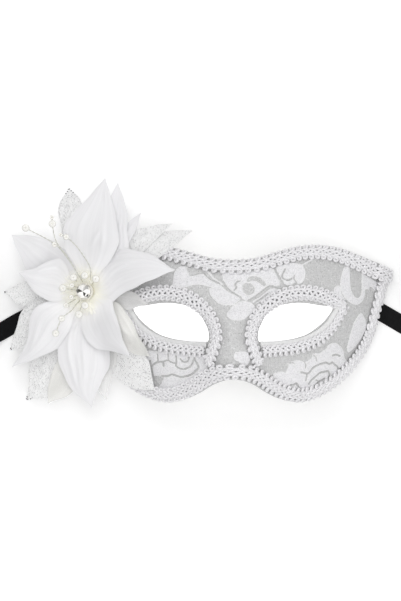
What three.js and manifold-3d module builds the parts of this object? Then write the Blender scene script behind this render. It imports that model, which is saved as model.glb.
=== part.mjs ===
// A lace-covered half mask with braided edges, a fabric flower on one temple and two satin ties,
// lying face up on its side rims. Millimetres, +Z up, +X to the viewer's right, +Y to the brow.
import * as THREE from 'three'
import { mergeVertices } from 'three/addons/utils/BufferGeometryUtils.js'
import Module from 'manifold-3d'

const wasm = await Module()
wasm.setup()

// Driving dimensions of the moulded shell
const SHELL_WALL = 1.6
const BROW_HEIGHT = 46
const SIDE_REACH = 81
const SIDE_FLARE = 0.306
const WRAP_POWER = 2.4
const BROW_FALL = { from: 8, rate: 0.01 }
const CHEEK_FALL = { from: -8, rate: 0.0086 }
const NOSE = { rise: 12, halfWidth: 15, top: 4, softness: 7 }
const TIE_ARCH = { rise: 2, centre: 8, reach: 11 }
const EYE_TURN_IN = { depth: 2.6, x: 35, y: 1.6, tilt: 0.24, long: 22.5, short: 10, from: 2.4, to: 0.6 }
const TABLE = -2
const GAP = 0.4

// Driving dimensions of the trimmings
const BRAID = { width: 9.4, eyeWidth: 8.4, thick: 1.4, crown: 0.5, lift: 0.7, step: 5.5 }
const BRAID_FOLD = { length: 11, slope: 4, rise: 2.1 }
const RIBBON = { width: 10, thick: 0.5, clear: 0.15, tab: 17, step: 3.5 }
const ROLL = { inner: 19, outer: 31, height: 10 }

// Driving dimensions of the flower
const FLOWER = { x: -83.2, y: 18.8, floor: 10, tilt: 0.2, pivot: 26 }
const LEAF = {
  start: 6.9, thick: 0.5, step: 1.55, clear: 3.1, blend: 4, base: 1.5, tip: 0.3,
  cellsAlong: 8, cellsAcross: 2,
}
const CORE = { radius: 4.5, foot: 6, bottom: 2, top: 25.5, bite: 30 }
const STONE = { radius: 4, table: 2.3, crown: 1.7, pavilion: 1.4, girdle: 0.4, facets: 8 }
const SETTING = { wall: 0.5, floor: 0.9, lip: 1.2 }
const PEARL = { large: 2.2, small: 1.5, wire: 0.4, start: 5.4, above: 3.2, step: 7 }

const colours = {
  cloth: ['#e2e3e6', 0.75, 0.15],
  braid: ['#f4f4f5', 0.7, 0],
  satin: ['#f3f3f6', 0.5, 0],
  sheer: ['#e9e9e6', 0.5, 0],
  glitter: ['#dcdde0', 0.4, 0.4],
  ribbon: ['#101012', 0.4, 0],
  pearl: ['#f1ead6', 0.25, 0],
  crystal: ['#dfe3e8', 0.05, 0.2],
  metal: ['#cfcfd2', 0.25, 1],
}

// Half outlines, from the middle of the nose outwards and from the temple corner to the brow
const lowerHalf = [
  [0, -29.6], [6.3, -30.5], [12.3, -33], [18.3, -37], [27, -41.2], [37, -43], [46.7, -40.8],
  [56.8, -35.3], [65.6, -27.8], [73, -18.6], [78.4, -8.6], [84.2, 10.9], [90, 31.5],
]
const upperHalf = [
  [90, 31.5], [83.5, 34.2], [74, 37.9], [62, 42.4], [48.5, 44.5], [36, 43.6], [24, 40.5], [12, 37],
  [0, 36],
]
const eyeHole = [
  [14.4, -9], [24.2, -8.7], [34.3, -7.3], [42.3, -4.8], [48.9, -0.6], [53.3, 3.6], [56.6, 9.4],
  [48.1, 11], [38.6, 12.3], [31.3, 11.9], [24.2, 10.2], [19.2, 6.6], [15.6, 0.9], [13.8, -4],
]
const upperEyeBraid = [
  [55.4, 13.9], [48.6, 16.8], [38.6, 18.3], [27.6, 16.6], [18.4, 11.2], [11.6, 3.8], [8.9, -4],
  [8.6, -8], [10.2, -12.9], [12.1, -18], [12.6, -19.9],
]
const lowerEyeBraid = [
  [15.7, -13.7], [24.2, -13.3], [35.7, -11.9], [46, -8.1], [54, -1.6], [59.2, 6.4], [60.8, 10],
]

const mirrored = (points) => points.map(([x, y]) => [-x, y])
const flipped = (points) => [...points].reverse()
const smoothStep = THREE.MathUtils.smoothstep

function planCurve(points) {
  const places = points.map(([x, y]) => new THREE.Vector3(x, y, 0))
  return new THREE.CatmullRomCurve3(places, false, 'centripetal')
}

const lowerEdge = planCurve([...mirrored(flipped(lowerHalf)), ...lowerHalf.slice(1)])
const upperEdge = planCurve([...upperHalf, ...mirrored(flipped(upperHalf)).slice(1)])

// The moulded front: a wrap that falls to the rims, a rounded brow and cheek, and a nose ridge
function sideReach(y) {
  const arch = TIE_ARCH.rise * Math.exp(-(((y - TIE_ARCH.centre) / TIE_ARCH.reach) ** 4))
  return SIDE_REACH + SIDE_FLARE * y + arch
}

function eyeTurnIn(x, y) {
  const dx = Math.abs(x) - EYE_TURN_IN.x
  const dy = y - EYE_TURN_IN.y
  const along = dx * Math.cos(EYE_TURN_IN.tilt) + dy * Math.sin(EYE_TURN_IN.tilt)
  const across = dy * Math.cos(EYE_TURN_IN.tilt) - dx * Math.sin(EYE_TURN_IN.tilt)
  const reach = (along / EYE_TURN_IN.long) ** 2 + (across / EYE_TURN_IN.short) ** 2
  return EYE_TURN_IN.depth * (1 - smoothStep(reach, EYE_TURN_IN.to, EYE_TURN_IN.from))
}

function front(x, y) {
  const brow = BROW_FALL.rate * Math.max(0, y - BROW_FALL.from) ** 2
  const cheek = CHEEK_FALL.rate * Math.max(0, CHEEK_FALL.from - y) ** 2
  const wrap = 1 - Math.min(Math.abs(x) / sideReach(y), 1.3) ** WRAP_POWER
  const ridge = NOSE.rise * Math.exp(-((x / NOSE.halfWidth) ** 2))
  const nose = ridge / (1 + Math.exp((y - NOSE.top) / NOSE.softness))
  return (BROW_HEIGHT - brow - cheek) * wrap + nose - eyeTurnIn(x, y)
}

function frontNormal(x, y) {
  const step = 0.05
  const slopeX = (front(x + step, y) - front(x - step, y)) / (2 * step)
  const slopeY = (front(x, y + step) - front(x, y - step)) / (2 * step)
  return new THREE.Vector3(-slopeX, -slopeY, 1).normalize()
}

function onFront(x, y, height) {
  return new THREE.Vector3(x, y, front(x, y)).addScaledVector(frontNormal(x, y), height)
}

// Closed solids: a welded copy with positions only, and the boolean library's own form
function welded(geometry) {
  geometry.deleteAttribute('normal')
  geometry.deleteAttribute('uv')
  return mergeVertices(geometry, 1e-4)
}

function bentBox(cellsU, cellsV, at) {
  const geometry = new THREE.BoxGeometry(1, 1, 1, cellsU, cellsV, 1)
  geometry.translate(0.5, 0.5, 0.5)
  const position = geometry.getAttribute('position')
  for (let index = 0; index < position.count; index += 1) {
    const place = at(position.getX(index), position.getY(index), position.getZ(index))
    position.setXYZ(index, place.x, place.y, place.z)
  }
  return welded(geometry)
}

function toSolid(geometry) {
  const vertProperties = new Float32Array(geometry.getAttribute('position').array)
  const triVerts = new Uint32Array(geometry.getIndex().array)
  return new wasm.Manifold(new wasm.Mesh({ numProp: 3, vertProperties, triVerts }))
}

function fromSolid(solid) {
  const mesh = solid.getMesh()
  const geometry = new THREE.BufferGeometry()
  geometry.setAttribute('position', new THREE.BufferAttribute(mesh.vertProperties, 3))
  geometry.setIndex(new THREE.BufferAttribute(mesh.triVerts, 1))
  return geometry
}

// A slab that follows the front between two heights measured along its normal
function frontSlab(low, high, cells) {
  const reach = { x: 97, bottom: -50, top: 52 }
  return bentBox(cells.x, cells.y, (u, v, w) => {
    const x = THREE.MathUtils.lerp(-reach.x, reach.x, u)
    const y = THREE.MathUtils.lerp(reach.bottom, reach.top, v)
    return onFront(x, y, THREE.MathUtils.lerp(low, high, w))
  })
}

function maskPlan() {
  const edge = [...lowerEdge.getSpacedPoints(80).slice(0, -1), ...upperEdge.getSpacedPoints(48)]
  const plan = new THREE.Shape(edge.slice(0, -1).map((point) => new THREE.Vector2(point.x, point.y)))
  for (const hole of [eyeHole, mirrored(flipped(eyeHole))]) {
    const places = hole.map(([x, y]) => new THREE.Vector3(x, y, 0))
    const rim = new THREE.CatmullRomCurve3(places, true, 'centripetal').getSpacedPoints(36)
    plan.holes.push(new THREE.Path(rim.slice(0, -1).map((point) => new THREE.Vector2(point.x, point.y))))
  }
  return plan
}

function shellGeometry() {
  const height = BROW_HEIGHT + NOSE.rise + 10
  const block = new THREE.ExtrudeGeometry(maskPlan(), { depth: height, bevelEnabled: false, steps: 1 })
  block.translate(0, 0, TABLE)
  const slab = toSolid(frontSlab(-SHELL_WALL, 0, { x: 30, y: 17 }))
  return fromSolid(slab.intersect(toSolid(welded(block))))
}

// A crowned braid strip on the front; right and left are distances from the curve to its edges,
// from is where on the curve it starts, and fold raises that end over the strip that it crosses
function braidGeometry(curve, right, left, { from = 0, fold = 0 } = {}) {
  const length = curve.getLength()
  const cells = Math.round(length / BRAID.step)
  return bentBox(cells, 2, (u, v, w) => {
    const way = THREE.MathUtils.lerp(from, 1, u)
    const place = curve.getPointAt(way)
    const travel = curve.getTangentAt(way)
    const inset = THREE.MathUtils.lerp(right, left, v)
    const thick = BRAID.thick + BRAID.crown * Math.sin(Math.PI * v)
    const normal = frontNormal(place.x, place.y)
    const slope = new THREE.Vector3(travel.x, travel.y, 0)
    slope.z = -(normal.x * travel.x + normal.y * travel.y) / normal.z
    const inward = new THREE.Vector3().crossVectors(normal, slope.normalize()).multiplyScalar(inset)
    const down = smoothStep(u * length, BRAID_FOLD.length, BRAID_FOLD.length + BRAID_FOLD.slope)
    const height = BRAID.lift + fold * (1 - down) + thick * w
    return onFront(place.x + inward.x, place.y + inward.y, height)
  })
}

// The flower's leaves: polar places about the flower's centre, with the angle in degrees from +X, the
// layer that each lies in, and the widths to its left and right, seen from the centre, at even steps
const leaves = [
  {
    name: 'satin_petal_top', kind: 'satin', angle: 80, reach: 65,
    layer: 5, arch: 6, tip: 2, crown: 2,
    left: [9, 15, 17.5, 17.4, 13.5, 8.7, 4.6],
    right: [6, 10.5, 13.7, 13.1, 10.4, 7.2, 3.8],
  },
  {
    name: 'satin_petal_top_back', kind: 'satin', angle: 73.3, reach: 64.2,
    layer: 3, arch: 2.6, tip: 1, crown: 1,
    left: [3, 5, 6, 6, 5, 3.6, 1.9],
    right: [7, 13, 16.9, 14.9, 12.4, 9.9, 5.4],
  },
  {
    name: 'satin_petal_small', kind: 'satin', angle: 54.6, reach: 54.3,
    layer: 2, arch: 1, tip: 1, crown: 0.6,
    left: [2.1, 2.6, 3, 3.3, 3.4, 3.2, 2.2],
    right: [2.5, 3.4, 4.2, 4.7, 4.9, 3.9, 2.3],
  },
  {
    name: 'satin_petal_right', kind: 'satin', angle: 13.2, reach: 52,
    layer: 4, arch: 3, tip: 0, crown: 1.5,
    left: [8, 14.5, 17.5, 17.3, 15, 11.7, 6.2],
    right: [5.8, 5, 4.3, 4.3, 3, 2, 1.1],
  },
  {
    name: 'satin_petal_lower_right', kind: 'satin', angle: -55, reach: 45.1,
    layer: 5, arch: 4, tip: 0, crown: 1.5,
    left: [5.9, 6.3, 5.7, 4.6, 3.4, 2.1, 1],
    right: [11, 14, 14.8, 14.5, 13.1, 7.4, 3.1],
  },
  {
    name: 'satin_petal_bottom', kind: 'satin', angle: -86.9, reach: 65.8,
    layer: 3, arch: 3, tip: 0, crown: 1.5,
    left: [5.8, 9.3, 11.5, 12, 10.7, 6.6, 2.6],
    right: [8.7, 14.3, 17.4, 17.5, 15.9, 13, 7.9],
  },
  {
    name: 'satin_petal_lower_left', kind: 'satin', angle: -134.3, reach: 59.9,
    layer: 4, arch: 4, tip: -3, crown: 1.5,
    left: [5, 8, 10.1, 10.9, 9.2, 6.5, 3.4],
    right: [7.2, 11.7, 14, 11.1, 6.2, 2.5, 1.4],
  },
  {
    name: 'satin_petal_left', kind: 'satin', angle: 164.5, reach: 39,
    layer: 5, arch: 4, tip: 3, crown: 2,
    left: [8, 10, 10.7, 9.7, 7.9, 5.2, 2.5],
    right: [7, 12, 14.3, 11.8, 8.7, 5, 3],
  },
  {
    name: 'satin_petal_left_back', kind: 'satin', angle: 142.5, reach: 52.8,
    layer: 2, arch: 1.5, tip: 2, crown: 1,
    left: [5.4, 8.6, 10.7, 11.2, 10.1, 7.1, 4],
    right: [8, 12, 12, 11.5, 10.5, 7.9, 4.2],
  },
  {
    name: 'glitter_leaf_top', kind: 'glitter', angle: 99.4, reach: 59.2,
    layer: 0, arch: 1, tip: 0, crown: 0.5,
    left: [3.5, 5.4, 6.8, 7.7, 8, 8.1, 6.2],
    right: [2.9, 4.1, 5.1, 5.7, 6.2, 6.1, 5.4],
  },
  {
    name: 'glitter_leaf_right', kind: 'glitter', angle: 29.5, reach: 69.2,
    layer: 0, arch: 0, tip: 0, crown: 0,
    left: [5.1, 8.1, 10.2, 10.9, 10.7, 8.5, 4.9],
    right: [3, 4, 4.5, 4.5, 4, 3.1, 1.7],
  },
  {
    name: 'glitter_leaf_right_back', kind: 'glitter', angle: 37.9, reach: 62,
    layer: 1, arch: 0, tip: 0, crown: 0,
    left: [4.2, 6.6, 8.6, 9.9, 10.4, 8.3, 4.8],
    right: [2.5, 3, 3, 3, 2.5, 2, 1],
  },
  {
    name: 'glitter_leaf_left', kind: 'glitter', angle: -179.6, reach: 46.4,
    layer: 0, arch: 0.5, tip: -3, crown: 0.5,
    left: [3.4, 5.1, 6.5, 7.5, 7.9, 7.8, 4.8],
    right: [3.5, 5.2, 6.5, 7.1, 6.7, 5.3, 3.2],
  },
  {
    name: 'glitter_leaf_lower_left', kind: 'glitter', angle: -142.7, reach: 54,
    layer: 1, arch: 0.5, tip: -4, crown: 0.5,
    left: [3, 4.3, 5.1, 5.5, 6.3, 6.7, 4.5],
    right: [7.1, 9.4, 12.6, 14, 12.8, 9, 5],
  },
  {
    name: 'glitter_leaf_bottom', kind: 'glitter', angle: -118.9, reach: 70.2,
    layer: 0, arch: 0.5, tip: -4, crown: 0.5,
    left: [5.7, 9.4, 12.2, 13.7, 14, 14.4, 12.1],
    right: [4.6, 7.2, 8.7, 9.1, 9, 7.1, 3.1],
  },
  {
    name: 'sheer_petal_bottom_left', kind: 'sheer', angle: -108.8, reach: 67,
    layer: 1, arch: 0.5, tip: -3, crown: 0.5,
    left: [5.1, 8.4, 11, 12.8, 13.4, 12.7, 9.3],
    right: [2.5, 3, 3, 3, 2.8, 3.5, 2.6],
  },
  {
    name: 'sheer_petal_right', kind: 'sheer', angle: -10.7, reach: 36.6,
    layer: 0, arch: 0, tip: 0, crown: 0,
    left: [3.6, 4.9, 5, 5, 4.7, 3.9, 1.7],
    right: [3.4, 4.5, 5.1, 5.9, 5.7, 4.1, 2.1],
  },
  {
    name: 'sheer_petal_cheek', kind: 'sheer', angle: -44.9, reach: 51.5,
    layer: 1, arch: 1, tip: 0, crown: 0,
    left: [6, 8.4, 8.4, 7.2, 5.4, 3.5, 2.1],
    right: [2.4, 3.6, 5, 6.5, 7.5, 6.3, 4.2],
  },
  {
    name: 'sheer_petal_lower_cheek', kind: 'sheer', angle: -54.7, reach: 68.1,
    layer: 0, arch: 0, tip: 0, crown: 0,
    left: [3.9, 5.9, 7.3, 7.7, 7.4, 6.5, 3.5],
    right: [5.6, 9, 11.1, 12.2, 14.8, 13.4, 9.4],
  },
  {
    name: 'sheer_petal_bottom', kind: 'sheer', angle: -79.3, reach: 62.8,
    layer: 1, arch: 0.5, tip: -1, crown: 0.5,
    left: [3.6, 6.6, 9.4, 11, 9.8, 6.2, 2.8],
    right: [2.3, 3, 3.4, 3.5, 3.7, 3.9, 3.8],
  },
]

// Leaves spread level from the core and ride over the mask where it rises in their way
function leafRest(x, y) {
  const overMask = front(x, y) + LEAF.clear / frontNormal(x, y).z
  const gap = FLOWER.floor - overMask
  return (FLOWER.floor + overMask + Math.sqrt(gap * gap + LEAF.blend * LEAF.blend)) / 2
}

// A leaf's side is a smooth curve through its widths, from the foot at 0 to the tip at 1
function sideCurve(widths) {
  const places = [LEAF.base, ...widths, LEAF.tip].map((width, step) => new THREE.Vector2(step, width))
  return new THREE.SplineCurve(places)
}

function leafGeometry(leaf) {
  const bearing = THREE.MathUtils.degToRad(leaf.angle)
  const leftSide = sideCurve(leaf.left)
  const rightSide = sideCurve(leaf.right)
  return bentBox(LEAF.cellsAlong, LEAF.cellsAcross, (u, v, w) => {
    const across = v * 2 - 1
    const aside = THREE.MathUtils.lerp(-rightSide.getPoint(u).y, leftSide.getPoint(u).y, v)
    const out = THREE.MathUtils.lerp(LEAF.start, leaf.reach, u)
    const x = FLOWER.x + out * Math.cos(bearing) - aside * Math.sin(bearing)
    const y = FLOWER.y + out * Math.sin(bearing) + aside * Math.cos(bearing)
    const bend = (leaf.arch - leaf.crown * across * across) * Math.sin(Math.PI * u)
    const z = leafRest(x, y) + leaf.layer * LEAF.step + bend + leaf.tip * u * u
    return new THREE.Vector3(x, y, z + LEAF.thick * w)
  })
}

function lathe(profile, segments) {
  const points = profile.map(([radius, height]) => new THREE.Vector2(radius, height))
  const geometry = new THREE.LatheGeometry(points, segments)
  geometry.rotateX(Math.PI / 2)
  return welded(geometry)
}

// The bound core stands on the braid and the shell, and leans outwards with the temple
function tilted(geometry) {
  geometry.translate(0, 0, -FLOWER.pivot)
  geometry.rotateY(-FLOWER.tilt)
  geometry.translate(FLOWER.x, FLOWER.y, FLOWER.pivot)
  return geometry
}

function coreGeometry() {
  const profile = [
    [0, CORE.bottom], [CORE.foot, CORE.bottom], [CORE.foot, CORE.bottom + 2],
    [CORE.radius, FLOWER.floor - 1], [CORE.radius, CORE.top], [0, CORE.top],
  ]
  const braidTop = BRAID.lift + BRAID.thick + BRAID.crown
  const cover = toSolid(frontSlab(-CORE.bite, braidTop + GAP, { x: 60, y: 32 }))
  return fromSolid(toSolid(tilted(lathe(profile, 16))).subtract(cover))
}

function settingGeometry() {
  const foot = CORE.top + GAP
  const floor = foot + SETTING.floor
  const rim = floor + STONE.pavilion + SETTING.lip
  const inside = STONE.radius + GAP
  const outside = inside + SETTING.wall
  const profile = [
    [0, foot], [inside, foot], [outside, floor], [outside, rim], [inside, rim], [inside, floor],
    [0, floor],
  ]
  return tilted(lathe(profile, 12))
}

function stoneGeometry() {
  const foot = CORE.top + SETTING.floor + 2 * GAP
  const girdle = foot + STONE.pavilion
  const crown = girdle + STONE.girdle
  const profile = [
    [0, foot], [STONE.table, foot], [STONE.radius, girdle], [STONE.radius, crown],
    [STONE.table, crown + STONE.crown], [0, crown + STONE.crown],
  ]
  return tilted(lathe(profile, STONE.facets))
}

// Wires with pearls: places are x and y from the flower's centre and height over the table line
function wireSolid(points, radius) {
  const section = new THREE.Shape()
  section.absarc(0, 0, radius, 0, Math.PI * 2)
  const path = new THREE.CatmullRomCurve3(points, false, 'centripetal')
  const steps = Math.max(3, Math.round(path.getLength() / PEARL.step))
  const wire = new THREE.ExtrudeGeometry(section, {
    extrudePath: path, steps, curveSegments: 2, bevelEnabled: false,
  })
  return toSolid(welded(wire))
}

function sprigGeometry(route, pearls) {
  const points = route.map(([x, y, z]) => new THREE.Vector3(FLOWER.x + x, FLOWER.y + y, z))
  let sprig = wireSolid(points, PEARL.wire)
  for (const [x, y, z, radius] of pearls) {
    const pearl = new THREE.SphereGeometry(radius, 8, 6)
    pearl.translate(FLOWER.x + x, FLOWER.y + y, z)
    sprig = sprig.add(toSolid(welded(pearl)))
  }
  return fromSolid(sprig)
}

const stamenPearls = [
  [-6.2, 7.8, PEARL.large], [0, 8.9, PEARL.large], [6.2, 7, PEARL.large],
  [-12.2, 1.8, PEARL.large], [-7, 3.4, PEARL.small], [-7.4, -3.2, PEARL.small],
  [-10.4, -7.8, PEARL.small], [0.2, -7.8, PEARL.large], [-3.2, -12.8, PEARL.large],
]

function stamenGeometry(index) {
  const [x, y, radius] = stamenPearls[index]
  const far = Math.hypot(x, y)
  const lean = (FLOWER.pivot - CORE.top + 3) * FLOWER.tilt
  const height = CORE.top + PEARL.above
  const route = [
    [(x / far) * PEARL.start + lean, (y / far) * PEARL.start, CORE.top - PEARL.above / 2],
    [x * 0.8, y * 0.8, CORE.top - PEARL.wire],
    [x, y, height],
  ]
  return sprigGeometry(route, [[x, y, height, radius]])
}

const sprigs = [
  {
    name: 'pearl_sprig_long',
    route: [[-1, 5.2, 22.6], [-3.1, 8.6, 26.4], [-9, 18, 30], [-15.6, 25.8, 31.5], [-33, 35.6, 29]],
    pearls: [[-33, 35.6, 29, 2.2], [-16.6, 26.2, 31.4, 1.6]],
  },
  {
    name: 'pearl_sprig_upright',
    route: [
      [-1, 5.2, 24.6], [-3.1, 8.6, 28.6], [-9, 19, 33], [-15.6, 28, 34], [-17.8, 37.8, 33],
      [-18, 41.4, 33],
    ],
    pearls: [[-17.8, 37.8, 33, 2.1], [-18, 41.4, 33, 1.3]],
  },
  {
    name: 'pearl_sprig_inner',
    route: [
      [2.6, 5.2, 24], [3.2, 8.5, 27.5], [3.4, 12.6, 30], [-3.6, 24.4, 35], [-10, 30.4, 36],
      [-13, 31.6, 35.7],
    ],
    pearls: [[-10, 30.4, 36, 1.7], [-13, 31.6, 35.7, 1.2]],
  },
  {
    name: 'pearl_sprig_lower',
    route: [
      [-2.4, -4.8, 23.4], [-4.4, -6.8, 26], [-7.2, -10.6, 28], [-12.6, -15, 29.4],
      [-16.2, -23.5, 29],
    ],
    pearls: [[-12.8, -15.2, 29.3, 1.9], [-16.2, -23.5, 29, 2]],
  },
]

// The ties: a tab glued inside the rim, a flat stretch on the table that turns on its edge, and a
// loose roll; each point is x, y and how far the ribbon stands on its edge, from 0 to 1
const ties = [
  {
    side: 'right',
    turn: 1,
    tab: { from: [83.3, 8], bearing: [-0.93, 0.36] },
    route: [
      [82.6, 8.4, 0], [86.5, 6.2, 0], [91, 3.6, 0], [97, 0.1, 0], [102.5, -3.1, 0.15],
      [108, -6.3, 0.5], [113.5, -9.4, 0.85], [119.5, -12.9, 1],
    ],
  },
  {
    side: 'left',
    turn: -1,
    tab: { from: [-84.3, 10.1], bearing: [0.995, 0.1] },
    route: [
      [-83.6, 10.1, 0], [-89, 10.1, 0], [-96, 9.7, 0], [-104, 8.6, 0], [-113, 6, 0],
      [-121.3, 2.2, 0], [-130, -2.8, 0], [-135.8, -6.1, 0.15], [-141.3, -9.3, 0.5],
      [-146.8, -12.5, 0.85], [-152.8, -16, 1],
    ],
  },
]

// A roll lies beside the end of its ribbon, which meets it along a tangent
function rollCentre({ route, turn }) {
  const [last, before] = [route.at(-1), route.at(-2)]
  const travel = new THREE.Vector2(last[0] - before[0], last[1] - before[1]).normalize()
  const away = ROLL.outer + RIBBON.thick / 2 + 2.5 * GAP
  return [last[0] - travel.y * turn * away, last[1] + travel.x * turn * away]
}

function ribbonGeometry(route) {
  const middle = TABLE + RIBBON.clear + RIBBON.thick / 2
  const upright = TABLE + RIBBON.clear + RIBBON.width / 2
  const points = route.map(([x, y, turn]) => {
    const z = THREE.MathUtils.lerp(middle, upright, Math.sin((turn * Math.PI) / 2))
    return new THREE.Vector3(x, y, z)
  })
  const path = new THREE.CatmullRomCurve3(points, false, 'centripetal')
  const cells = Math.round(path.getLength() / RIBBON.step)
  return bentBox(cells, 1, (u, v, w) => {
    const place = path.getPointAt(u)
    const travel = path.getTangentAt(u)
    const at = path.getUtoTmapping(u) * (route.length - 1)
    const before = Math.min(Math.floor(at), route.length - 2)
    const turn = THREE.MathUtils.lerp(route[before][2], route[before + 1][2], at - before)
    const angle = (turn * Math.PI) / 2
    const left = new THREE.Vector3(-travel.y, travel.x, 0).normalize()
    const across = left.clone().multiplyScalar(Math.cos(angle))
    across.z = Math.sin(angle)
    const face = left.multiplyScalar(-Math.sin(angle))
    face.z = Math.cos(angle)
    place.addScaledVector(across, (v - 0.5) * RIBBON.width)
    place.addScaledVector(face, (w - 0.5) * RIBBON.thick)
    place.z = Math.max(place.z, TABLE + RIBBON.clear / 2)
    return place
  })
}

function tabGeometry({ from, bearing }) {
  const under = -SHELL_WALL - GAP
  return bentBox(5, 2, (u, v, w) => {
    const along = u * RIBBON.tab
    const aside = (v - 0.5) * RIBBON.width
    const x = from[0] + bearing[0] * along - bearing[1] * aside
    const y = from[1] + bearing[1] * along + bearing[0] * aside
    const place = onFront(x, y, under - RIBBON.thick * (1 - w))
    place.z = Math.max(place.z, TABLE + RIBBON.clear + RIBBON.thick * w)
    return place
  })
}

function rollGeometry() {
  const low = TABLE + RIBBON.clear
  const high = low + ROLL.height
  const profile = [[ROLL.inner, low], [ROLL.outer, low], [ROLL.outer, high], [ROLL.inner, high]]
  return lathe([...profile, profile[0]], 22)
}

// The scene graph
const model = new THREE.Group()

function addPart(group, name, look, geometry) {
  const [color, roughness, metalness] = colours[look]
  const material = new THREE.MeshStandardMaterial({ color, roughness, metalness, flatShading: true })
  const mesh = new THREE.Mesh(geometry, material)
  mesh.name = name
  group.add(mesh)
  return mesh
}

addPart(model, 'mask_shell', 'cloth', shellGeometry())

const braids = new THREE.Group()
model.add(braids)
const half = BRAID.eyeWidth / 2
const leftEnd = { from: BRAID_FOLD.length / lowerEdge.getLength() }
const rightFold = { fold: BRAID_FOLD.rise }
addPart(braids, 'braid_lower_edge', 'braid', braidGeometry(lowerEdge, 0, BRAID.width, leftEnd))
addPart(braids, 'braid_top_edge', 'braid', braidGeometry(upperEdge, 0, BRAID.width, rightFold))
for (const [side, turned] of [['right', (points) => points], ['left', mirrored]]) {
  const upper = planCurve(turned(upperEyeBraid))
  const lower = planCurve(turned(lowerEyeBraid))
  addPart(braids, `braid_${side}_eye_upper`, 'braid', braidGeometry(upper, -half, half))
  addPart(braids, `braid_${side}_eye_lower`, 'braid', braidGeometry(lower, -half, half))
}

const flower = new THREE.Group()
model.add(flower)
for (const leaf of leaves) {
  addPart(flower, leaf.name, leaf.kind, leafGeometry(leaf))
}
addPart(flower, 'flower_core', 'braid', coreGeometry())
addPart(flower, 'stone_setting', 'metal', settingGeometry())
addPart(flower, 'rhinestone', 'crystal', stoneGeometry())
stamenPearls.forEach((pearl, index) => {
  addPart(flower, `pearl_stamen_${index + 1}`, 'pearl', stamenGeometry(index))
})
for (const sprig of sprigs) {
  addPart(flower, sprig.name, 'pearl', sprigGeometry(sprig.route, sprig.pearls))
}

const ribbons = new THREE.Group()
model.add(ribbons)
for (const tie of ties) {
  addPart(ribbons, `ribbon_tab_${tie.side}`, 'ribbon', tabGeometry(tie.tab))
  addPart(ribbons, `ribbon_${tie.side}`, 'ribbon', ribbonGeometry(tie.route))
  const roll = addPart(ribbons, `ribbon_roll_${tie.side}`, 'ribbon', rollGeometry())
  roll.position.set(...rollCentre(tie), 0)
}

// The origin is the middle of the underside of the mask and flower, without the free ties
model.updateMatrixWorld(true)
const box = new THREE.Box3()
for (const group of [model.children[0], braids, flower]) {
  box.expandByObject(group, true)
}
const middle = box.getCenter(new THREE.Vector3())
model.position.set(-middle.x, -middle.y, -box.min.z)
model.updateMatrixWorld(true)

export default model
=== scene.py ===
import logging
import math
import random
from collections.abc import Callable, Mapping, Sequence
from dataclasses import dataclass, field
from enum import Enum
from typing import ClassVar

import bmesh
import bpy
import numpy as np
from mathutils import Matrix, Vector


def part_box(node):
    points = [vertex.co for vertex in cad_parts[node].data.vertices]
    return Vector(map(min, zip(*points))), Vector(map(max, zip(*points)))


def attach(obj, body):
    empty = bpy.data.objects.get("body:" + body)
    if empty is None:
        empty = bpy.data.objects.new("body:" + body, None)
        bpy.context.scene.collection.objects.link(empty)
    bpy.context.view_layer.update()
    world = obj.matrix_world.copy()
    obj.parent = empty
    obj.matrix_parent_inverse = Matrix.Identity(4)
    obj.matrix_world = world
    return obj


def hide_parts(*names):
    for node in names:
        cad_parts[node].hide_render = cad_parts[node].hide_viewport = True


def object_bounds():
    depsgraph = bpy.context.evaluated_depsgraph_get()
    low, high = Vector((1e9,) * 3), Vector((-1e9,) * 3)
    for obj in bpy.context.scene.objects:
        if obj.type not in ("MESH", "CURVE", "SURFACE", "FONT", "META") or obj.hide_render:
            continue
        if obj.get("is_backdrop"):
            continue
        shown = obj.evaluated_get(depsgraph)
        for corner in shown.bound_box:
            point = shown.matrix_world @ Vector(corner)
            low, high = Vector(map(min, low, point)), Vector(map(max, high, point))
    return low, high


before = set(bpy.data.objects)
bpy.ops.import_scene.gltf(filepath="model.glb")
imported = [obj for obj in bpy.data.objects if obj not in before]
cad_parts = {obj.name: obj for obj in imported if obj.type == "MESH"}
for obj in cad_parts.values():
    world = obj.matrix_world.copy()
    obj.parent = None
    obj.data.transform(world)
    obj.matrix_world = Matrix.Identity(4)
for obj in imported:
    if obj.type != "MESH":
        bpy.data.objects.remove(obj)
CAD_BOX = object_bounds()

MM = 0.001
TABLE = -2.0
LOG = logging.getLogger("lace_eye_mask")

Rows = np.ndarray
Pair = tuple[float, float]
Triple = tuple[float, float, float]
Colour = tuple[float, float, float, float]
Mesh = bpy.types.Mesh
Shape = bmesh.types.BMesh
Tree = bpy.types.NodeTree
Node = bpy.types.Node
Socket = bpy.types.NodeSocket


class Slot(Enum):
    """Names of the material slots that each piece is passed with."""

    CLOTH = "cloth"
    BRAID = "braid"
    SATIN = "satin"
    GLITTER = "glitter"
    SHEER = "sheer"
    CORE = "core"
    METAL = "metal"
    CRYSTAL = "crystal"
    PEARL = "pearl"
    RIBBON = "ribbon"


class Stitch(Enum):
    """What a drawn line or outline of the lace pattern stands for."""

    SOLID = "solid"
    GAP = "gap"
    CREASE = "crease"
    STEM = "stem"


def smooth_step(value: Rows, low: float, high: float) -> Rows:
    """Eases from 0 to 1.

    Args:
        value: The numbers to ease.
        low: Where the result starts to leave 0.
        high: Where the result reaches 1.

    Returns:
        The eased numbers.
    """
    ramp = np.clip((value - low) / (high - low), 0.0, 1.0)
    return ramp * ramp * (3.0 - 2.0 * ramp)


def unit(vectors: Rows) -> Rows:
    """Gives rows of vectors the length 1."""
    return vectors / np.maximum(np.linalg.norm(vectors, axis=-1, keepdims=True), 1e-12)


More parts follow.
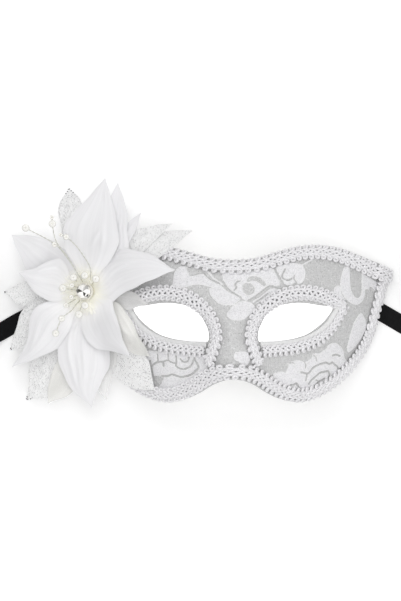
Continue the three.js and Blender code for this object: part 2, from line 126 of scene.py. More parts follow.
def distance_along(points: Rows) -> Rows:
    """Gives the distance of each point from the first one, along the line through them."""
    steps = np.linalg.norm(np.diff(points, axis=0), axis=1)
    return np.concatenate([[0.0], np.cumsum(steps)])


def spline(points: Sequence[Sequence[float]], step: float, closed: bool = False) -> Rows:
    """Draws a centripetal curve through points and cuts it into even steps.

    Args:
        points: The places that the curve passes, two or three numbers each.
        step: The distance between the results.
        closed: Whether the curve returns to its first point.

    Returns:
        The even places along the curve, the first and the last included.
    """
    knots = np.array(points, dtype=float)
    if closed:
        padded = np.vstack([knots[-1:], knots, knots[:2]])
    else:
        padded = np.vstack([2.0 * knots[0] - knots[1], knots, 2.0 * knots[-1] - knots[-2]])
    weights = np.linspace(0.0, 1.0, 24, endpoint=False)[:, None]
    places = []
    for index in range(len(padded) - 3):
        before, start, end, after = padded[index : index + 4]
        gaps = [np.sqrt(np.linalg.norm(b - a)) for a, b in ((before, start), (start, end), (end, after))]
        leave = (start - before) / gaps[0] - (end - before) / (gaps[0] + gaps[1]) + (end - start) / gaps[1]
        arrive = (end - start) / gaps[1] - (after - start) / (gaps[1] + gaps[2]) + (after - end) / gaps[2]
        leave, arrive = leave * gaps[1], arrive * gaps[1]
        square = -3.0 * start + 3.0 * end - 2.0 * leave - arrive
        cube = 2.0 * start - 2.0 * end + leave + arrive
        places.append(start + leave * weights + square * weights**2 + cube * weights**3)
    places.append(padded[-2:-1])
    curve = np.vstack(places)
    along = distance_along(curve)
    count = max(2, round(along[-1] / step))
    even = np.linspace(0.0, along[-1], count + 1)
    return np.column_stack([np.interp(even, along, curve[:, axis]) for axis in range(curve.shape[1])])


def mirrored(points: Sequence[Pair]) -> list[Pair]:
    """Turns plan points over to the other side of the nose."""
    return [(-x, y) for x, y in points]


@dataclass(frozen=True)
class MaskForm:
    """The moulded front of the mask, with +X across the face, +Y to the brow and +Z outwards."""

    brow_height: float = 46.0
    side_reach: float = 81.0
    side_flare: float = 0.306
    wrap_power: float = 2.4
    brow_fall: Pair = (8.0, 0.01)
    cheek_fall: Pair = (-8.0, 0.0086)
    nose_rise: float = 12.0
    nose_half_width: float = 15.0
    nose_top: float = 4.0
    nose_softness: float = 7.0
    arch_rise: float = 2.0
    arch_centre: float = 8.0
    arch_reach: float = 11.0
    eye_depth: float = 2.6
    eye_centre: Pair = (35.0, 1.6)
    eye_tilt: float = 0.24
    eye_size: Pair = (22.5, 10.0)
    eye_ease: Pair = (0.6, 2.4)
    top_edge: float = 44.5

    def turn_in(self, x: Rows, y: Rows) -> Rows:
        """Gives how far the form sinks towards the eye openings.

        Args:
            x: Places across the face, in millimetres.
            y: Places towards the brow, in millimetres.

        Returns:
            The depths, in millimetres.
        """
        dx = np.abs(x) - self.eye_centre[0]
        dy = y - self.eye_centre[1]
        along = dx * math.cos(self.eye_tilt) + dy * math.sin(self.eye_tilt)
        across = dy * math.cos(self.eye_tilt) - dx * math.sin(self.eye_tilt)
        reach = (along / self.eye_size[0]) ** 2 + (across / self.eye_size[1]) ** 2
        return self.eye_depth * (1.0 - smooth_step(reach, *self.eye_ease))

    def front(self, x: Rows, y: Rows) -> Rows:
        """Gives the height of the front over the middle of its rim.

        Args:
            x: Places across the face, in millimetres.
            y: Places towards the brow, in millimetres.

        Returns:
            The heights, in millimetres.
        """
        arch = self.arch_rise * np.exp(-(((y - self.arch_centre) / self.arch_reach) ** 4))
        reach = self.side_reach + self.side_flare * y + arch
        brow = self.brow_fall[1] * np.maximum(0.0, y - self.brow_fall[0]) ** 2
        cheek = self.cheek_fall[1] * np.maximum(0.0, self.cheek_fall[0] - y) ** 2
        wrap = 1.0 - np.minimum(np.abs(x) / reach, 1.3) ** self.wrap_power
        ridge = self.nose_rise * np.exp(-((x / self.nose_half_width) ** 2))
        nose = ridge / (1.0 + np.exp((y - self.nose_top) / self.nose_softness))
        return (self.brow_height - brow - cheek) * wrap + nose - self.turn_in(x, y)

    def normal(self, x: Rows, y: Rows) -> Rows:
        """Gives the outward directions of the front.

        Args:
            x: Places across the face, in millimetres.
            y: Places towards the brow, in millimetres.

        Returns:
            One row of x, y and z for each, of the length 1.
        """
        step = 0.05
        slope_x = (self.front(x + step, y) - self.front(x - step, y)) / (2.0 * step)
        slope_y = (self.front(x, y + step) - self.front(x, y - step)) / (2.0 * step)
        return unit(np.stack([-slope_x, -slope_y, np.ones_like(slope_x)], axis=-1))

    def on_front(self, x: Rows, y: Rows, height: Rows | float) -> Rows:
        """Gives places at a height over the front, measured square to it."""
        places = np.stack([x, y, self.front(x, y)], axis=-1)
        return places + self.normal(x, y) * np.expand_dims(np.broadcast_to(height, np.shape(x)), -1)

    def seat(self) -> Rows:
        """Gives what is added to the mask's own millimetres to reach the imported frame's."""
        low, high = (np.array(corner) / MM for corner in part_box("mask_shell"))
        return np.array([(low[0] + high[0]) / 2.0, high[1] - self.top_edge, low[2] - TABLE])


FORM = MaskForm()
SEAT = FORM.seat()


def to_frame(points: Rows) -> Rows:
    """Carries places from the mask's own millimetres to the frame's metres."""
    return (np.asarray(points, dtype=float) + SEAT) * MM


class EdgePath:
    """A line drawn in plan on the front, that a trimming follows."""

    def __init__(self, points: Sequence[Pair], longer: Pair = (0.0, 0.0)) -> None:
        """Draws the line through plan points, and straight on past its two ends.

        Args:
            points: The plan places that the line passes.
            longer: How far it goes on past each end.
        """
        drawn = spline(points, 0.5)
        first, last = unit(drawn[0] - drawn[2]), unit(drawn[-1] - drawn[-3])
        ends = [[drawn[0] + first * longer[0]], drawn, [drawn[-1] + last * longer[1]]]
        self.plan = np.vstack([part for part, used in zip(ends, (longer[0], 1.0, longer[1])) if used])
        heights = FORM.front(self.plan[:, 0], self.plan[:, 1])
        self.along = distance_along(np.column_stack([self.plan, heights]))
        self.length = float(self.along[-1])
        self.travel = unit(np.gradient(self.plan, self.along, axis=0))

    def at(self, along: Rows, inset: Rows, height: Rows) -> Rows:
        """Gives places beside the line.

        Args:
            along: Distances along the line as it lies on the front, in millimetres.
            inset: Distances to the left of the line, measured on the front.
            height: Heights over the front.

        Returns:
            One row of x, y and z for each.
        """
        x, y = (np.interp(along, self.along, self.plan[:, axis]) for axis in (0, 1))
        way_x, way_y = (np.interp(along, self.along, self.travel[:, axis]) for axis in (0, 1))
        normal = FORM.normal(x, y)
        rise = -(normal[..., 0] * way_x + normal[..., 1] * way_y) / normal[..., 2]
        inward = np.cross(normal, unit(np.stack([way_x, way_y, rise], axis=-1)))
        return FORM.on_front(x + inward[..., 0] * inset, y + inward[..., 1] * inset, height)


@dataclass(frozen=True)
class MaskPlan:
    """The outlines of the mask, seen straight from the front."""

    lower_half: tuple[Pair, ...] = (
        (0, -29.6), (6.3, -30.5), (12.3, -33), (18.3, -37), (27, -41.2), (37, -43), (46.7, -40.8),
        (56.8, -35.3), (65.6, -27.8), (73, -18.6), (78.4, -8.6), (84.2, 10.9), (90, 31.5),
    )
    upper_half: tuple[Pair, ...] = (
        (90, 31.5), (83.5, 34.2), (74, 37.9), (62, 42.4), (48.5, 44.5), (36, 43.6), (24, 40.5),
        (12, 37), (0, 36),
    )
    eye_hole: tuple[Pair, ...] = (
        (14.4, -9), (24.2, -8.7), (34.3, -7.3), (42.3, -4.8), (48.9, -0.6), (53.3, 3.6), (56.6, 9.4),
        (48.1, 11), (38.6, 12.3), (31.3, 11.9), (24.2, 10.2), (19.2, 6.6), (15.6, 0.9), (13.8, -4),
    )
    upper_eye_braid: tuple[Pair, ...] = (
        (55.4, 13.9), (48.6, 16.8), (38.6, 18.3), (27.6, 16.6), (18.4, 11.2), (11.6, 3.8), (8.9, -4),
        (8.6, -8), (10.2, -12.9), (12.1, -18), (12.6, -19.9),
    )
    lower_eye_braid: tuple[Pair, ...] = (
        (15.7, -13.7), (24.2, -13.3), (35.7, -11.9), (46, -8.1), (54, -1.6), (59.2, 6.4), (60.8, 10),
    )

    def lower_edge(self) -> list[Pair]:
        """Gives the line from the left corner, under the nose, to the right corner."""
        return mirrored(self.lower_half[::-1]) + list(self.lower_half[1:])

    def upper_edge(self) -> list[Pair]:
        """Gives the line from the right corner, over the brow, to the left corner."""
        return list(self.upper_half) + mirrored(self.upper_half[::-1])[1:]

    def outline(self, step: float) -> Rows:
        """Gives the closed outline in even steps."""
        lower, upper = spline(self.lower_edge(), step), spline(self.upper_edge(), step)
        return np.vstack([lower[:-1], upper[:-1]])

    def eye_outlines(self, step: float) -> list[Rows]:
        """Gives the two eye openings' closed outlines in even steps."""
        holes = (self.eye_hole, mirrored(self.eye_hole[::-1]))
        return [spline(hole, step, closed=True)[:-1] for hole in holes]


PLAN = MaskPlan()


def line_distance(places: Rows, line: Rows, closed: bool) -> Rows:
    """Gives how far plan places lie from a line, and for a closed one with a minus sign outside.

    Args:
        places: Rows of x and y.
        line: The line's corners.
        closed: Whether the line is an outline.

    Returns:
        One distance for each place.
    """
    ends = np.roll(line, -1, axis=0) if closed else line[1:]
    starts = line if closed else line[:-1]
    nearest = np.full(len(places), np.inf)
    inside = np.zeros(len(places), dtype=bool)
    for start, end in zip(starts, ends):
        run = end - start
        away = places - start
        part = np.clip(away @ run / max(run @ run, 1e-12), 0.0, 1.0)
        nearest = np.minimum(nearest, np.linalg.norm(away - part[:, None] * run, axis=1))
        if closed and start[1] != end[1]:
            crosses = (start[1] > places[:, 1]) != (end[1] > places[:, 1])
            at = start[0] + (places[:, 1] - start[1]) * run[0] / run[1]
            inside ^= crosses & (places[:, 0] < at)
    return np.where(inside, nearest, -nearest) if closed else nearest


class Bench:
    """Wires the nodes of one material or node group."""

    def __init__(self, tree: Tree) -> None:
        """Takes the tree to work on.

        Args:
            tree: The tree. Its source is the node that gives a group's inputs, and its sink the one
                that takes what is put.
        """
        self.tree = tree
        self.source: Node | None = None
        self.sink: Node | None = None

    def add(self, kind: str, feeds: dict | None = None, **settings: object) -> Node:
        """Adds a node.

        Args:
            kind: The node's type, without the word ShaderNode.
            feeds: What each input socket gets, a socket to link or a value to set.
            **settings: The node's own settings.

        Returns:
            The new node.
        """
        prefix = "" if kind.startswith("Node") else "ShaderNode"
        node = self.tree.nodes.new(prefix + kind)
        for name, value in settings.items():
            setattr(node, name, value)
        for name, value in (feeds or {}).items():
            self.feed(node.inputs[name], value)
        return node

    def feed(self, socket: Socket, value: object) -> None:
        """Links a socket to an input, or sets the input's value.

        Args:
            socket: The input.
            value: The socket to link, or the value.
        """
        if isinstance(value, Socket):
            self.tree.links.new(value, socket)
        else:
            socket.default_value = value

    def take(self, name: str) -> Socket:
        """Gives one of the group's own inputs."""
        return self.source.outputs[name]

    def put(self, name: str, value: object) -> None:
        """Feeds a socket of the shader, or an output of the group."""
        self.feed(self.sink.inputs[name], value)

    def calc(self, operation: str, first: object, second: object = 0.5) -> Socket:
        """Gives the result of a Math node."""
        return self.add("Math", {0: first, 1: second}, operation=operation).outputs[0]

    def times(self, first: object, second: object) -> Socket:
        """Gives a product."""
        return self.calc("MULTIPLY", first, second)

    def plus(self, first: object, second: object) -> Socket:
        """Gives a sum."""
        return self.calc("ADD", first, second)

    def less(self, first: object, second: object) -> Socket:
        """Gives a difference."""
        return self.calc("SUBTRACT", first, second)

    def span(self, value: object, low: float, high: float, start: float = 0.0, end: float = 1.0) -> Socket:
        """Gives a value eased from one range to another, held at its ends."""
        feeds = {0: value, 1: low, 2: high, 3: start, 4: end}
        return self.add("MapRange", feeds, interpolation_type="SMOOTHSTEP", clamp=True).outputs[0]

    def blend(self, factor: object, first: object, second: object, kind: str = "MIX") -> Socket:
        """Gives a mix of two colours."""
        return self.add("Mix", {0: factor, 6: first, 7: second}, data_type="RGBA", blend_type=kind).outputs[2]

    def shaded(self, colour: object, shade: object) -> Socket:
        """Gives a colour times a shade."""
        return self.blend(1.0, colour, shade, "MULTIPLY")

    def placed(self) -> Socket:
        """Gives the piece's own places, in millimetres."""
        places = self.add("TexCoord").outputs["Object"]
        return self.add("Mapping", {"Vector": places, "Scale": (1.0 / MM,) * 3}).outputs[0]

    def cloth_map(self) -> Socket:
        """Gives the piece's own UV map."""
        return self.add("UVMap", uv_map="UVMap").outputs[0]

    def attribute(self, name: str) -> Socket:
        """Gives a number that the piece's mesh carries."""
        return self.add("Attribute", attribute_name=name).outputs["Fac"]

    def noise(self, vector: object, scale: object, detail: float = 2.0, rough: float = 0.5) -> Socket:
        """Gives a noise from 0 to 1."""
        feeds = {"Vector": vector, "Scale": scale, "Detail": detail, "Roughness": rough}
        return self.add("TexNoise", feeds).outputs[0]

    def group(self, tree: Tree, **feeds: object) -> Mapping[str, Socket]:
        """Adds a shared effect and gives what it puts out."""
        return self.add("Group", feeds, node_tree=tree).outputs

    def bump(self, height: object, relief: float) -> Socket:
        """Gives the surface direction over a relief of so many millimetres."""
        return self.add("Bump", {"Height": height, "Distance": relief * MM, "Strength": 1.0}).outputs[0]


class Effects:
    """Effects that several finishes share, each built once as a node group."""

    def __init__(self) -> None:
        """Builds every effect."""
        self.weave = self.build_weave()
        self.streaks = self.build_streaks()
        self.twist = self.build_twist()
        self.mottle = self.build_mottle()
        self.flecks = self.build_flecks()

    @staticmethod
    def opened(name: str, numbers: dict[str, float], gives: Sequence[str]) -> Bench:
        """Starts a node group that takes a vector and some numbers.

        Args:
            name: The group's name.
            numbers: Its number inputs, with their first values.
            gives: Its outputs, all of them numbers.

        Returns:
            The group's bench.
        """
        tree = bpy.data.node_groups.new(name, "ShaderNodeTree")
        tree.interface.new_socket("Vector", in_out="INPUT", socket_type="NodeSocketVector")
        for label, value in numbers.items():
            socket = tree.interface.new_socket(label, in_out="INPUT", socket_type="NodeSocketFloat")
            socket.default_value = value
        for label in gives:
            tree.interface.new_socket(label, in_out="OUTPUT", socket_type="NodeSocketFloat")
        bench = Bench(tree)
        bench.source, bench.sink = bench.add("NodeGroupInput"), bench.add("NodeGroupOutput")
        return bench

    def build_weave(self) -> Tree:
        """Makes a plain weave: crossing threads at one spacing.

        Returns:
            The node group.
        """
        bench = self.opened("plain_weave", {"Spacing": 0.5}, ("Height", "Hole"))
        waves = []
        for part in bench.add("SeparateXYZ", {0: bench.take("Vector")}).outputs[:2]:
            turns = bench.calc("DIVIDE", part, bench.take("Spacing"))
            waves.append(bench.calc("ABSOLUTE", bench.calc("SINE", bench.times(turns, math.pi))))
        thread = bench.calc("MAXIMUM", *waves)
        bench.put("Height", thread)
        bench.put("Hole", bench.span(thread, 0.75, 0.35))
        return bench.tree

    def build_streaks(self) -> Tree:
        """Makes fine fibres that run along the first direction of a map.

        Returns:
            The node group.
        """
        bench = self.opened("fibre_streaks", {"Along": 3.0, "Across": 40.0}, ("Height", "Shade"))
        size = bench.add("CombineXYZ", {0: bench.take("Along"), 1: bench.take("Across")}).outputs[0]
        place = bench.add("VectorMath", {0: bench.take("Vector"), 1: size}, operation="MULTIPLY").outputs[0]
        fine, broad = bench.noise(place, 1.0, 3.0, 0.6), bench.noise(place, 0.21, 1.0)
        bench.put("Height", bench.plus(fine, broad))
        shade = bench.times(bench.plus(fine, bench.times(broad, 2.0)), 1.0 / 3.0)
        bench.put("Shade", bench.span(shade, 0.35, 0.65))
        return bench.tree

    def build_twist(self) -> Tree:
        """Makes the slanting grooves of a twisted yarn, on a map of length and turn.

        Returns:
            The node group.
        """
        bench = self.opened("yarn_twist", {"Pitch": 0.8, "Plies": 2.0}, ("Height", "Groove"))
        along, around = bench.add("SeparateXYZ", {0: bench.take("Vector")}).outputs[:2]
        turn = bench.calc("DIVIDE", along, bench.take("Pitch"))
        turn = bench.plus(turn, bench.times(around, bench.take("Plies")))
        ply = bench.calc("ABSOLUTE", bench.calc("SINE", bench.times(turn, math.pi)))
        bench.put("Height", ply)
        bench.put("Groove", bench.span(ply, 0.5, 0.0))
        return bench.tree

    def build_mottle(self) -> Tree:
        """Makes the faint cloudy unevenness of any cloth.

        Returns:
            The node group.
        """
        bench = self.opened("soft_mottle", {"Scale": 0.3, "Amount": 0.1}, ("Shade",))
        cloud = bench.noise(bench.take("Vector"), bench.take("Scale"), 4.0, 0.65)
        bench.put("Shade", bench.less(1.0, bench.times(bench.span(cloud, 0.3, 0.7), bench.take("Amount"))))
        return bench.tree

    def build_flecks(self) -> Tree:
        """Makes scattered glitter flakes, each with its own brightness and slant.

        Returns:
            The node group.
        """
        bench = self.opened("glitter_flecks", {"Scale": 2.0, "Share": 0.5}, ("Fleck", "Tone", "Height"))
        cells = bench.add("TexVoronoi", {"Vector": bench.take("Vector"), "Scale": bench.take("Scale")})
        draw, tone, slant = bench.add("SeparateColor", {0: cells.outputs["Color"]}).outputs[:3]
        disc = bench.span(cells.outputs["Distance"], 0.5, 0.35)
        bench.put("Fleck", bench.times(bench.calc("LESS_THAN", draw, bench.take("Share")), disc))
        bench.put("Tone", tone)
        bench.put("Height", bench.times(slant, disc))
        return bench.tree

    def clouded(self, bench: Bench, colour: object, scale: float, amount: float) -> Socket:
        """Gives a colour with the faint cloudy unevenness of cloth."""
        cloud = bench.group(self.mottle, Vector=bench.placed(), Scale=scale, Amount=amount)
        return bench.shaded(colour, cloud["Shade"])


def grey(level: float, warmth: float = 0.0) -> Colour:
    """Gives a near grey, a little warm where warmth is above 0 and a little cool below."""
    return (level * (1.0 + warmth), level * (1.0 + warmth * 0.4), level * (1.0 - warmth), 1.0)


@dataclass(frozen=True)
class Finish:
    """A material with plain values, a cloudy shade and a fine grain."""

    name: str
    colour: Colour
    roughness: float
    settings: dict[str, object] = field(default_factory=dict)

    def build(self, effects: Effects) -> bpy.types.Material:
        """Makes the material.

        Args:
            effects: The shared effects.

        Returns:
            The material, its plain values set on the shader and the rest wired by dress.
        """
        material = bpy.data.materials.new(self.name)
        material.use_nodes = True
        material.node_tree.nodes.clear()
        bench = Bench(material.node_tree)
        plain = {"Base Color": self.colour, "Roughness": self.roughness} | self.settings
        bench.sink = bench.add("BsdfPrincipled", plain)
        bench.add("OutputMaterial", {"Surface": bench.sink.outputs[0]})
        self.dress(effects, bench)
        return material

    def dress(self, effects: Effects, bench: Bench) -> None:
        """Wires the cloudy shade and the grain."""
        bench.put("Base Color", effects.clouded(bench, self.colour, 0.8, 0.08))
        bench.put("Normal", bench.bump(bench.noise(bench.placed(), 3.0), 0.05))


@dataclass(frozen=True)
class LaceFinish(Finish):
    """White woven lace over a fine net and a silver glitter cloth."""

    name: str = "lace_over_silver_cloth"
    colour: Colour = (0.985, 0.98, 1.0, 1.0)
    roughness: float = 0.75
    silver: Colour = grey(0.68)
    flakes: tuple[Colour, Colour] = (grey(0.42), grey(0.96))
    net: Colour = grey(0.8)
    net_share: float = 0.45
    fray: float = 0.9
    painted_crease_shade: float = 0.3
    cord: Colour = grey(0.96)
    relief: float = 0.14

    def dress(self, effects: Effects, bench: Bench) -> None:
        """Wires the pattern, which comes from the depths that the cloth's mesh carries.

        Args:
            effects: The shared effects.
            bench: The material's bench.
        """
        places = bench.placed()
        ragged = bench.times(bench.less(bench.noise(places, 0.9), 0.5), self.fray)
        depth = bench.plus(bench.attribute("lace_depth"), ragged)
        solid = bench.span(depth, -0.12, 0.12)
        bare = bench.less(1.0, solid)
        outline = bench.times(bench.span(depth, 0.0, 0.2), bench.span(depth, 0.8, 0.3))
        flecks = bench.group(effects.flecks, Vector=places, Scale=1.6, Share=0.7)
        cells = bench.add("TexVoronoi", {"Vector": places, "Scale": 0.85, "Randomness": 0.25},
                          feature="DISTANCE_TO_EDGE", voronoi_dimensions="2D").outputs[0]
        mesh = bench.span(cells, 0.09, 0.03)
        glint = bench.blend(flecks["Tone"], *self.flakes)
        glint = bench.blend(flecks["Fleck"], self.silver, glint)
        ground = bench.blend(bench.times(mesh, self.net_share), glint, self.net)
        ground = effects.clouded(bench, ground, 0.55, 0.12)
        # Painted shade: the silver cloth darkens inside the creases.
        crease = bench.span(bench.attribute("lace_crease"), -0.1, 0.3)
        ground = bench.blend(bench.times(crease, self.painted_crease_shade), ground, grey(0.3))
        stitch = bench.group(effects.weave, Vector=places, Spacing=0.42)["Height"]
        cloth = bench.shaded(self.colour, bench.span(stitch, 0.0, 1.0, 0.95, 1.0))
        cloth = effects.clouded(bench, cloth, 0.5, 0.08)
        cloth = bench.shaded(cloth, bench.span(bench.noise(places, 1.5, 3.0, 0.75), 0.36, 0.56, 0.8, 1.0))
        cloth = bench.blend(bench.times(outline, 0.7), cloth, self.cord)
        bench.put("Base Color", bench.blend(solid, ground, cloth))
        bench.put("Roughness", bench.span(bare, 0.0, 1.0, 0.78, 0.5))
        bench.put("Metallic", bench.times(bare, 0.1))
        raised = bench.plus(bench.times(stitch, bench.times(solid, 0.5)), bench.times(outline, 0.9))
        rough = bench.times(bench.times(bare, flecks["Height"]), 0.5)
        raised = bench.plus(bench.plus(raised, rough), bench.times(mesh, 0.35))
        bench.put("Normal", bench.bump(raised, self.relief))


@dataclass(frozen=True)
class YarnFinish(Finish):
    """Twisted yarn, on a map of millimetres along and turns around."""

    pitch: float = 0.9
    groove_shade: float = 0.72
    relief: float = 0.12

    def dress(self, effects: Effects, bench: Bench) -> None:
        """Wires the twist and the painted shade in its grooves.

        Args:
            effects: The shared effects.
            bench: The material's bench.
        """
        twist = bench.group(effects.twist, Vector=bench.cloth_map(), Pitch=self.pitch, Plies=2.0)
        dark = tuple(part * self.groove_shade for part in self.colour[:3]) + (1.0,)
        tint = bench.blend(bench.times(twist["Groove"], 0.6), self.colour, dark)
        bench.put("Base Color", effects.clouded(bench, tint, 0.6, 0.08))
        bench.put("Normal", bench.bump(twist["Height"], self.relief))


@dataclass(frozen=True)
class PetalFinish(Finish):
    """Petal cloth with fibres from the foot to the tip, on a map from 0 to 1 each way."""

    foot: Colour = (0.93, 0.92, 0.82, 1.0)
    foot_reach: float = 0.22
    painted_glow_reach: float = 0.42
    streak: float = 0.045
    relief: float = 0.016
    across: float = 55.0

    def dress(self, effects: Effects, bench: Bench) -> None:
        """Wires the plain petal cloth."""
        self.fibrous(effects, bench)

    def fibrous(self, effects: Effects, bench: Bench) -> Socket:
        """Wires the fibres, the tinted foot and a painted glow near the foot that lifts the shade there.

        Args:
            effects: The shared effects.
            bench: The material's bench.

        Returns:
            The colour before any glitter.
        """
        cloth = bench.cloth_map()
        fibres = bench.group(effects.streaks, Vector=cloth, Along=3.5, Across=self.across)
        weave = bench.group(effects.weave, Vector=bench.placed(), Spacing=0.35)
        along = bench.add("SeparateXYZ", {0: cloth}).outputs[0]
        tint = bench.blend(bench.times(bench.span(along, self.foot_reach, 0.0), 0.8), self.colour, self.foot)
        colour = bench.shaded(tint, bench.span(fibres["Shade"], 0.0, 1.0, 1.0 - self.streak, 1.0))
        bench.put("Base Color", colour)
        # Painted light: the cloth glows towards its foot, lifting the shade around the flower's heart.
        bench.put("Emission Color", bench.blend(bench.span(along, self.painted_glow_reach, 0.0), grey(0.0), tint))
        height = bench.plus(fibres["Height"], bench.times(weave["Height"], 0.3))
        bench.put("Normal", bench.bump(height, self.relief))
        return colour


@dataclass(frozen=True)
class SheerFinish(PetalFinish):
    """Organza that lets part of what lies behind it through, with a closer woven edge."""

    solid: float = 0.55
    tip_cover: float = 0.6

    def dress(self, effects: Effects, bench: Bench) -> None:
        """Wires the petal cloth and how much of it covers.

        Args:
            effects: The shared effects.
            bench: The material's bench.
        """
        self.fibrous(effects, bench)
        weave = bench.group(effects.weave, Vector=bench.placed(), Spacing=0.45)
        along, across = bench.add("SeparateXYZ", {0: bench.cloth_map()}).outputs[:2]
        edge = bench.span(bench.calc("ABSOLUTE", bench.less(across, 0.5)), 0.455, 0.485)
        cover = bench.span(weave["Hole"], 0.0, 1.0, self.solid + 0.18, self.solid - 0.12)
        cover = bench.calc("MAXIMUM", cover, bench.times(edge, 0.9))
        bench.put("Alpha", bench.times(cover, bench.span(along, 0.55, 1.0, 1.0, self.tip_cover)))


@dataclass(frozen=True)
class GlitterFinish(PetalFinish):
    """Sheer petal cloth covered with silver flakes."""

    solid: float = 0.94
    share: float = 0.8
    dull: float = 0.5
    fineness: float = 1.5
    flake_relief: float = 0.25

    def dress(self, effects: Effects, bench: Bench) -> None:
        """Wires the petal cloth, the flakes on it and a painted glow: the cloth glows faintly and each flake glows
        with its tone, as a painted glint.

        Args:
            effects: The shared effects.
            bench: The material's bench.
        """
        colour = self.fibrous(effects, bench)
        flecks = bench.group(effects.flecks, Vector=bench.placed(), Scale=self.fineness, Share=self.share)
        tone = bench.blend(flecks["Tone"], grey(self.dull), grey(1.0))
        part = bench.times(flecks["Fleck"], 0.85)
        bench.put("Base Color", bench.blend(part, colour, tone))
        # Painted light: a faint glow over the cloth and a brighter one on the flakes, as painted glints.
        bench.put("Emission Color", bench.blend(part, grey(0.2), tone))
        bench.put("Metallic", bench.times(part, 0.1))
        bench.put("Roughness", bench.span(part, 0.0, 1.0, 0.6, 0.28))
        bench.put("Alpha", bench.calc("MAXIMUM", flecks["Fleck"], self.solid))
        bench.put("Normal", bench.bump(flecks["Height"], self.flake_relief))


@dataclass(frozen=True)
class RibbonFinish(Finish):
    """Black satin ribbon, on a map of millimetres along and from 0 to 1 across."""

    name: str = "black_satin_ribbon"
    colour: Colour = (0.006, 0.006, 0.007, 1.0)
    edge_colour: Colour = (0.014, 0.014, 0.016, 1.0)
    roughness: float = 0.42
    weft: float = 0.3
    relief: float = 0.03

    def dress(self, effects: Effects, bench: Bench) -> None:
        """Wires the weft and the woven edges.

        Args:
            effects: The shared effects.
            bench: The material's bench.
        """
        along, across = bench.add("SeparateXYZ", {0: bench.cloth_map()}).outputs[:2]
        weft = bench.calc("SINE", bench.times(along, math.tau / self.weft))
        edge = bench.span(bench.calc("ABSOLUTE", bench.less(across, 0.5)), 0.43, 0.46)
        colour = bench.blend(edge, self.colour, self.edge_colour)
        bench.put("Base Color", effects.clouded(bench, colour, 0.4, 0.3))
        bench.put("Roughness", bench.plus(bench.times(edge, 0.2), self.roughness))
        bench.put("Normal", bench.bump(bench.plus(weft, bench.times(edge, 2.0)), self.relief))


@dataclass(frozen=True)
class PearlFinish(Finish):
    """Cream imitation pearl with painted shade, darker and warmer towards its outline as the camera sees it."""

    name: str = "cream_pearl"
    colour: Colour = (1.0, 0.99, 0.95, 1.0)
    # The colour of the painted shade at the outline.
    rim: Colour = (0.58, 0.56, 0.48, 1.0)
    roughness: float = 0.28

    def dress(self, effects: Effects, bench: Bench) -> None:
        """Wires the painted shade at the outline."""
        # Painted shade: darker towards the outline, by how far the surface turns from the camera.
        outline_painted_shade = bench.span(bench.add("LayerWeight", {"Blend": 0.5}).outputs["Facing"], 0.4, 0.95)
        bench.put("Base Color", effects.clouded(bench, bench.blend(outline_painted_shade, self.colour, self.rim), 1.2, 0.06))


@dataclass(frozen=True)
class StoneFinish(Finish):
    """Clear cut glass over a foil, with painted reflections: a tone attribute paints each facet dark or light, and
    the facets glow in the same colour.
    """

    name: str = "cut_glass_painted_reflections"
    colour: Colour = (1.0, 0.99, 0.97, 1.0)
    # The colour of the painted dark reflections.
    dark: Colour = (0.045, 0.043, 0.037, 1.0)
    roughness: float = 0.03

    def dress(self, effects: Effects, bench: Bench) -> None:
        """Wires the painted reflections of the facets and the matching painted glow.

        Args:
            effects: The shared effects.
            bench: The material's bench.
        """
        haze = bench.span(bench.noise(bench.placed(), 1.5, 1.0), 0.2, 0.8, 0.85, 1.0)
        tint = bench.blend(bench.times(bench.attribute("facet_painted_reflection"), haze), self.dark, self.colour)
        bench.put("Base Color", tint)
        bench.put("Emission Color", tint)


@dataclass(frozen=True)
class FloorFinish(Finish):
    """Matt white paper, which glows a little all over, and with painted light more under the middle of the mask,
    where its shade falls, and more away from the mask.
    """

    name: str = "white_paper"
    colour: Colour = grey(0.92)
    roughness: float = 0.9
    glow: float = 0.15
    painted_inner_glow: float = 0.7
    painted_outer_glow: float = 0.12
    outer_size: Pair = (170.0, 68.0)
    inner_size: Pair = (78.0, 30.0)
    relief: float = 0.01

    @staticmethod
    def reach(bench: Bench, parts: Sequence[Socket], size: Pair) -> Socket:
        """Gives how far out a place lies, as 1 on an ellipse about the mask's middle.

        Args:
            bench: The material's bench.
            parts: The place's first two parts.
            size: The ellipse's two half axes.

        Returns:
            The square of the share.
        """
        squares = []
        for part, middle, half in zip(parts, SEAT, size):
            away = bench.calc("DIVIDE", bench.less(part, float(middle)), half)
            squares.append(bench.times(away, away))
        return bench.plus(*squares)

    def dress(self, effects: Effects, bench: Bench) -> None:
        """Wires the grain and the two pools of painted light.

        Args:
            effects: The shared effects.
            bench: The material's bench.
        """
        places = bench.placed()
        bench.put("Normal", bench.bump(bench.noise(places, 0.6, 3.0), self.relief))
        parts = bench.add("SeparateXYZ", {0: places}).outputs[:2]
        inner, outer = (self.reach(bench, parts, size) for size in (self.inner_size, self.outer_size))
        # Painted light: the floor glows more under the mask's middle, lifting the shade there, and more away from
        # the mask.
        level = bench.plus(bench.span(inner, 1.0, 0.45, self.glow, self.glow + self.painted_inner_glow),
                           bench.span(outer, 0.6, 1.5, 0.0, self.painted_outer_glow))
        bench.put("Emission Color", bench.add("CombineColor", {0: level, 1: level, 2: level}).outputs[0])


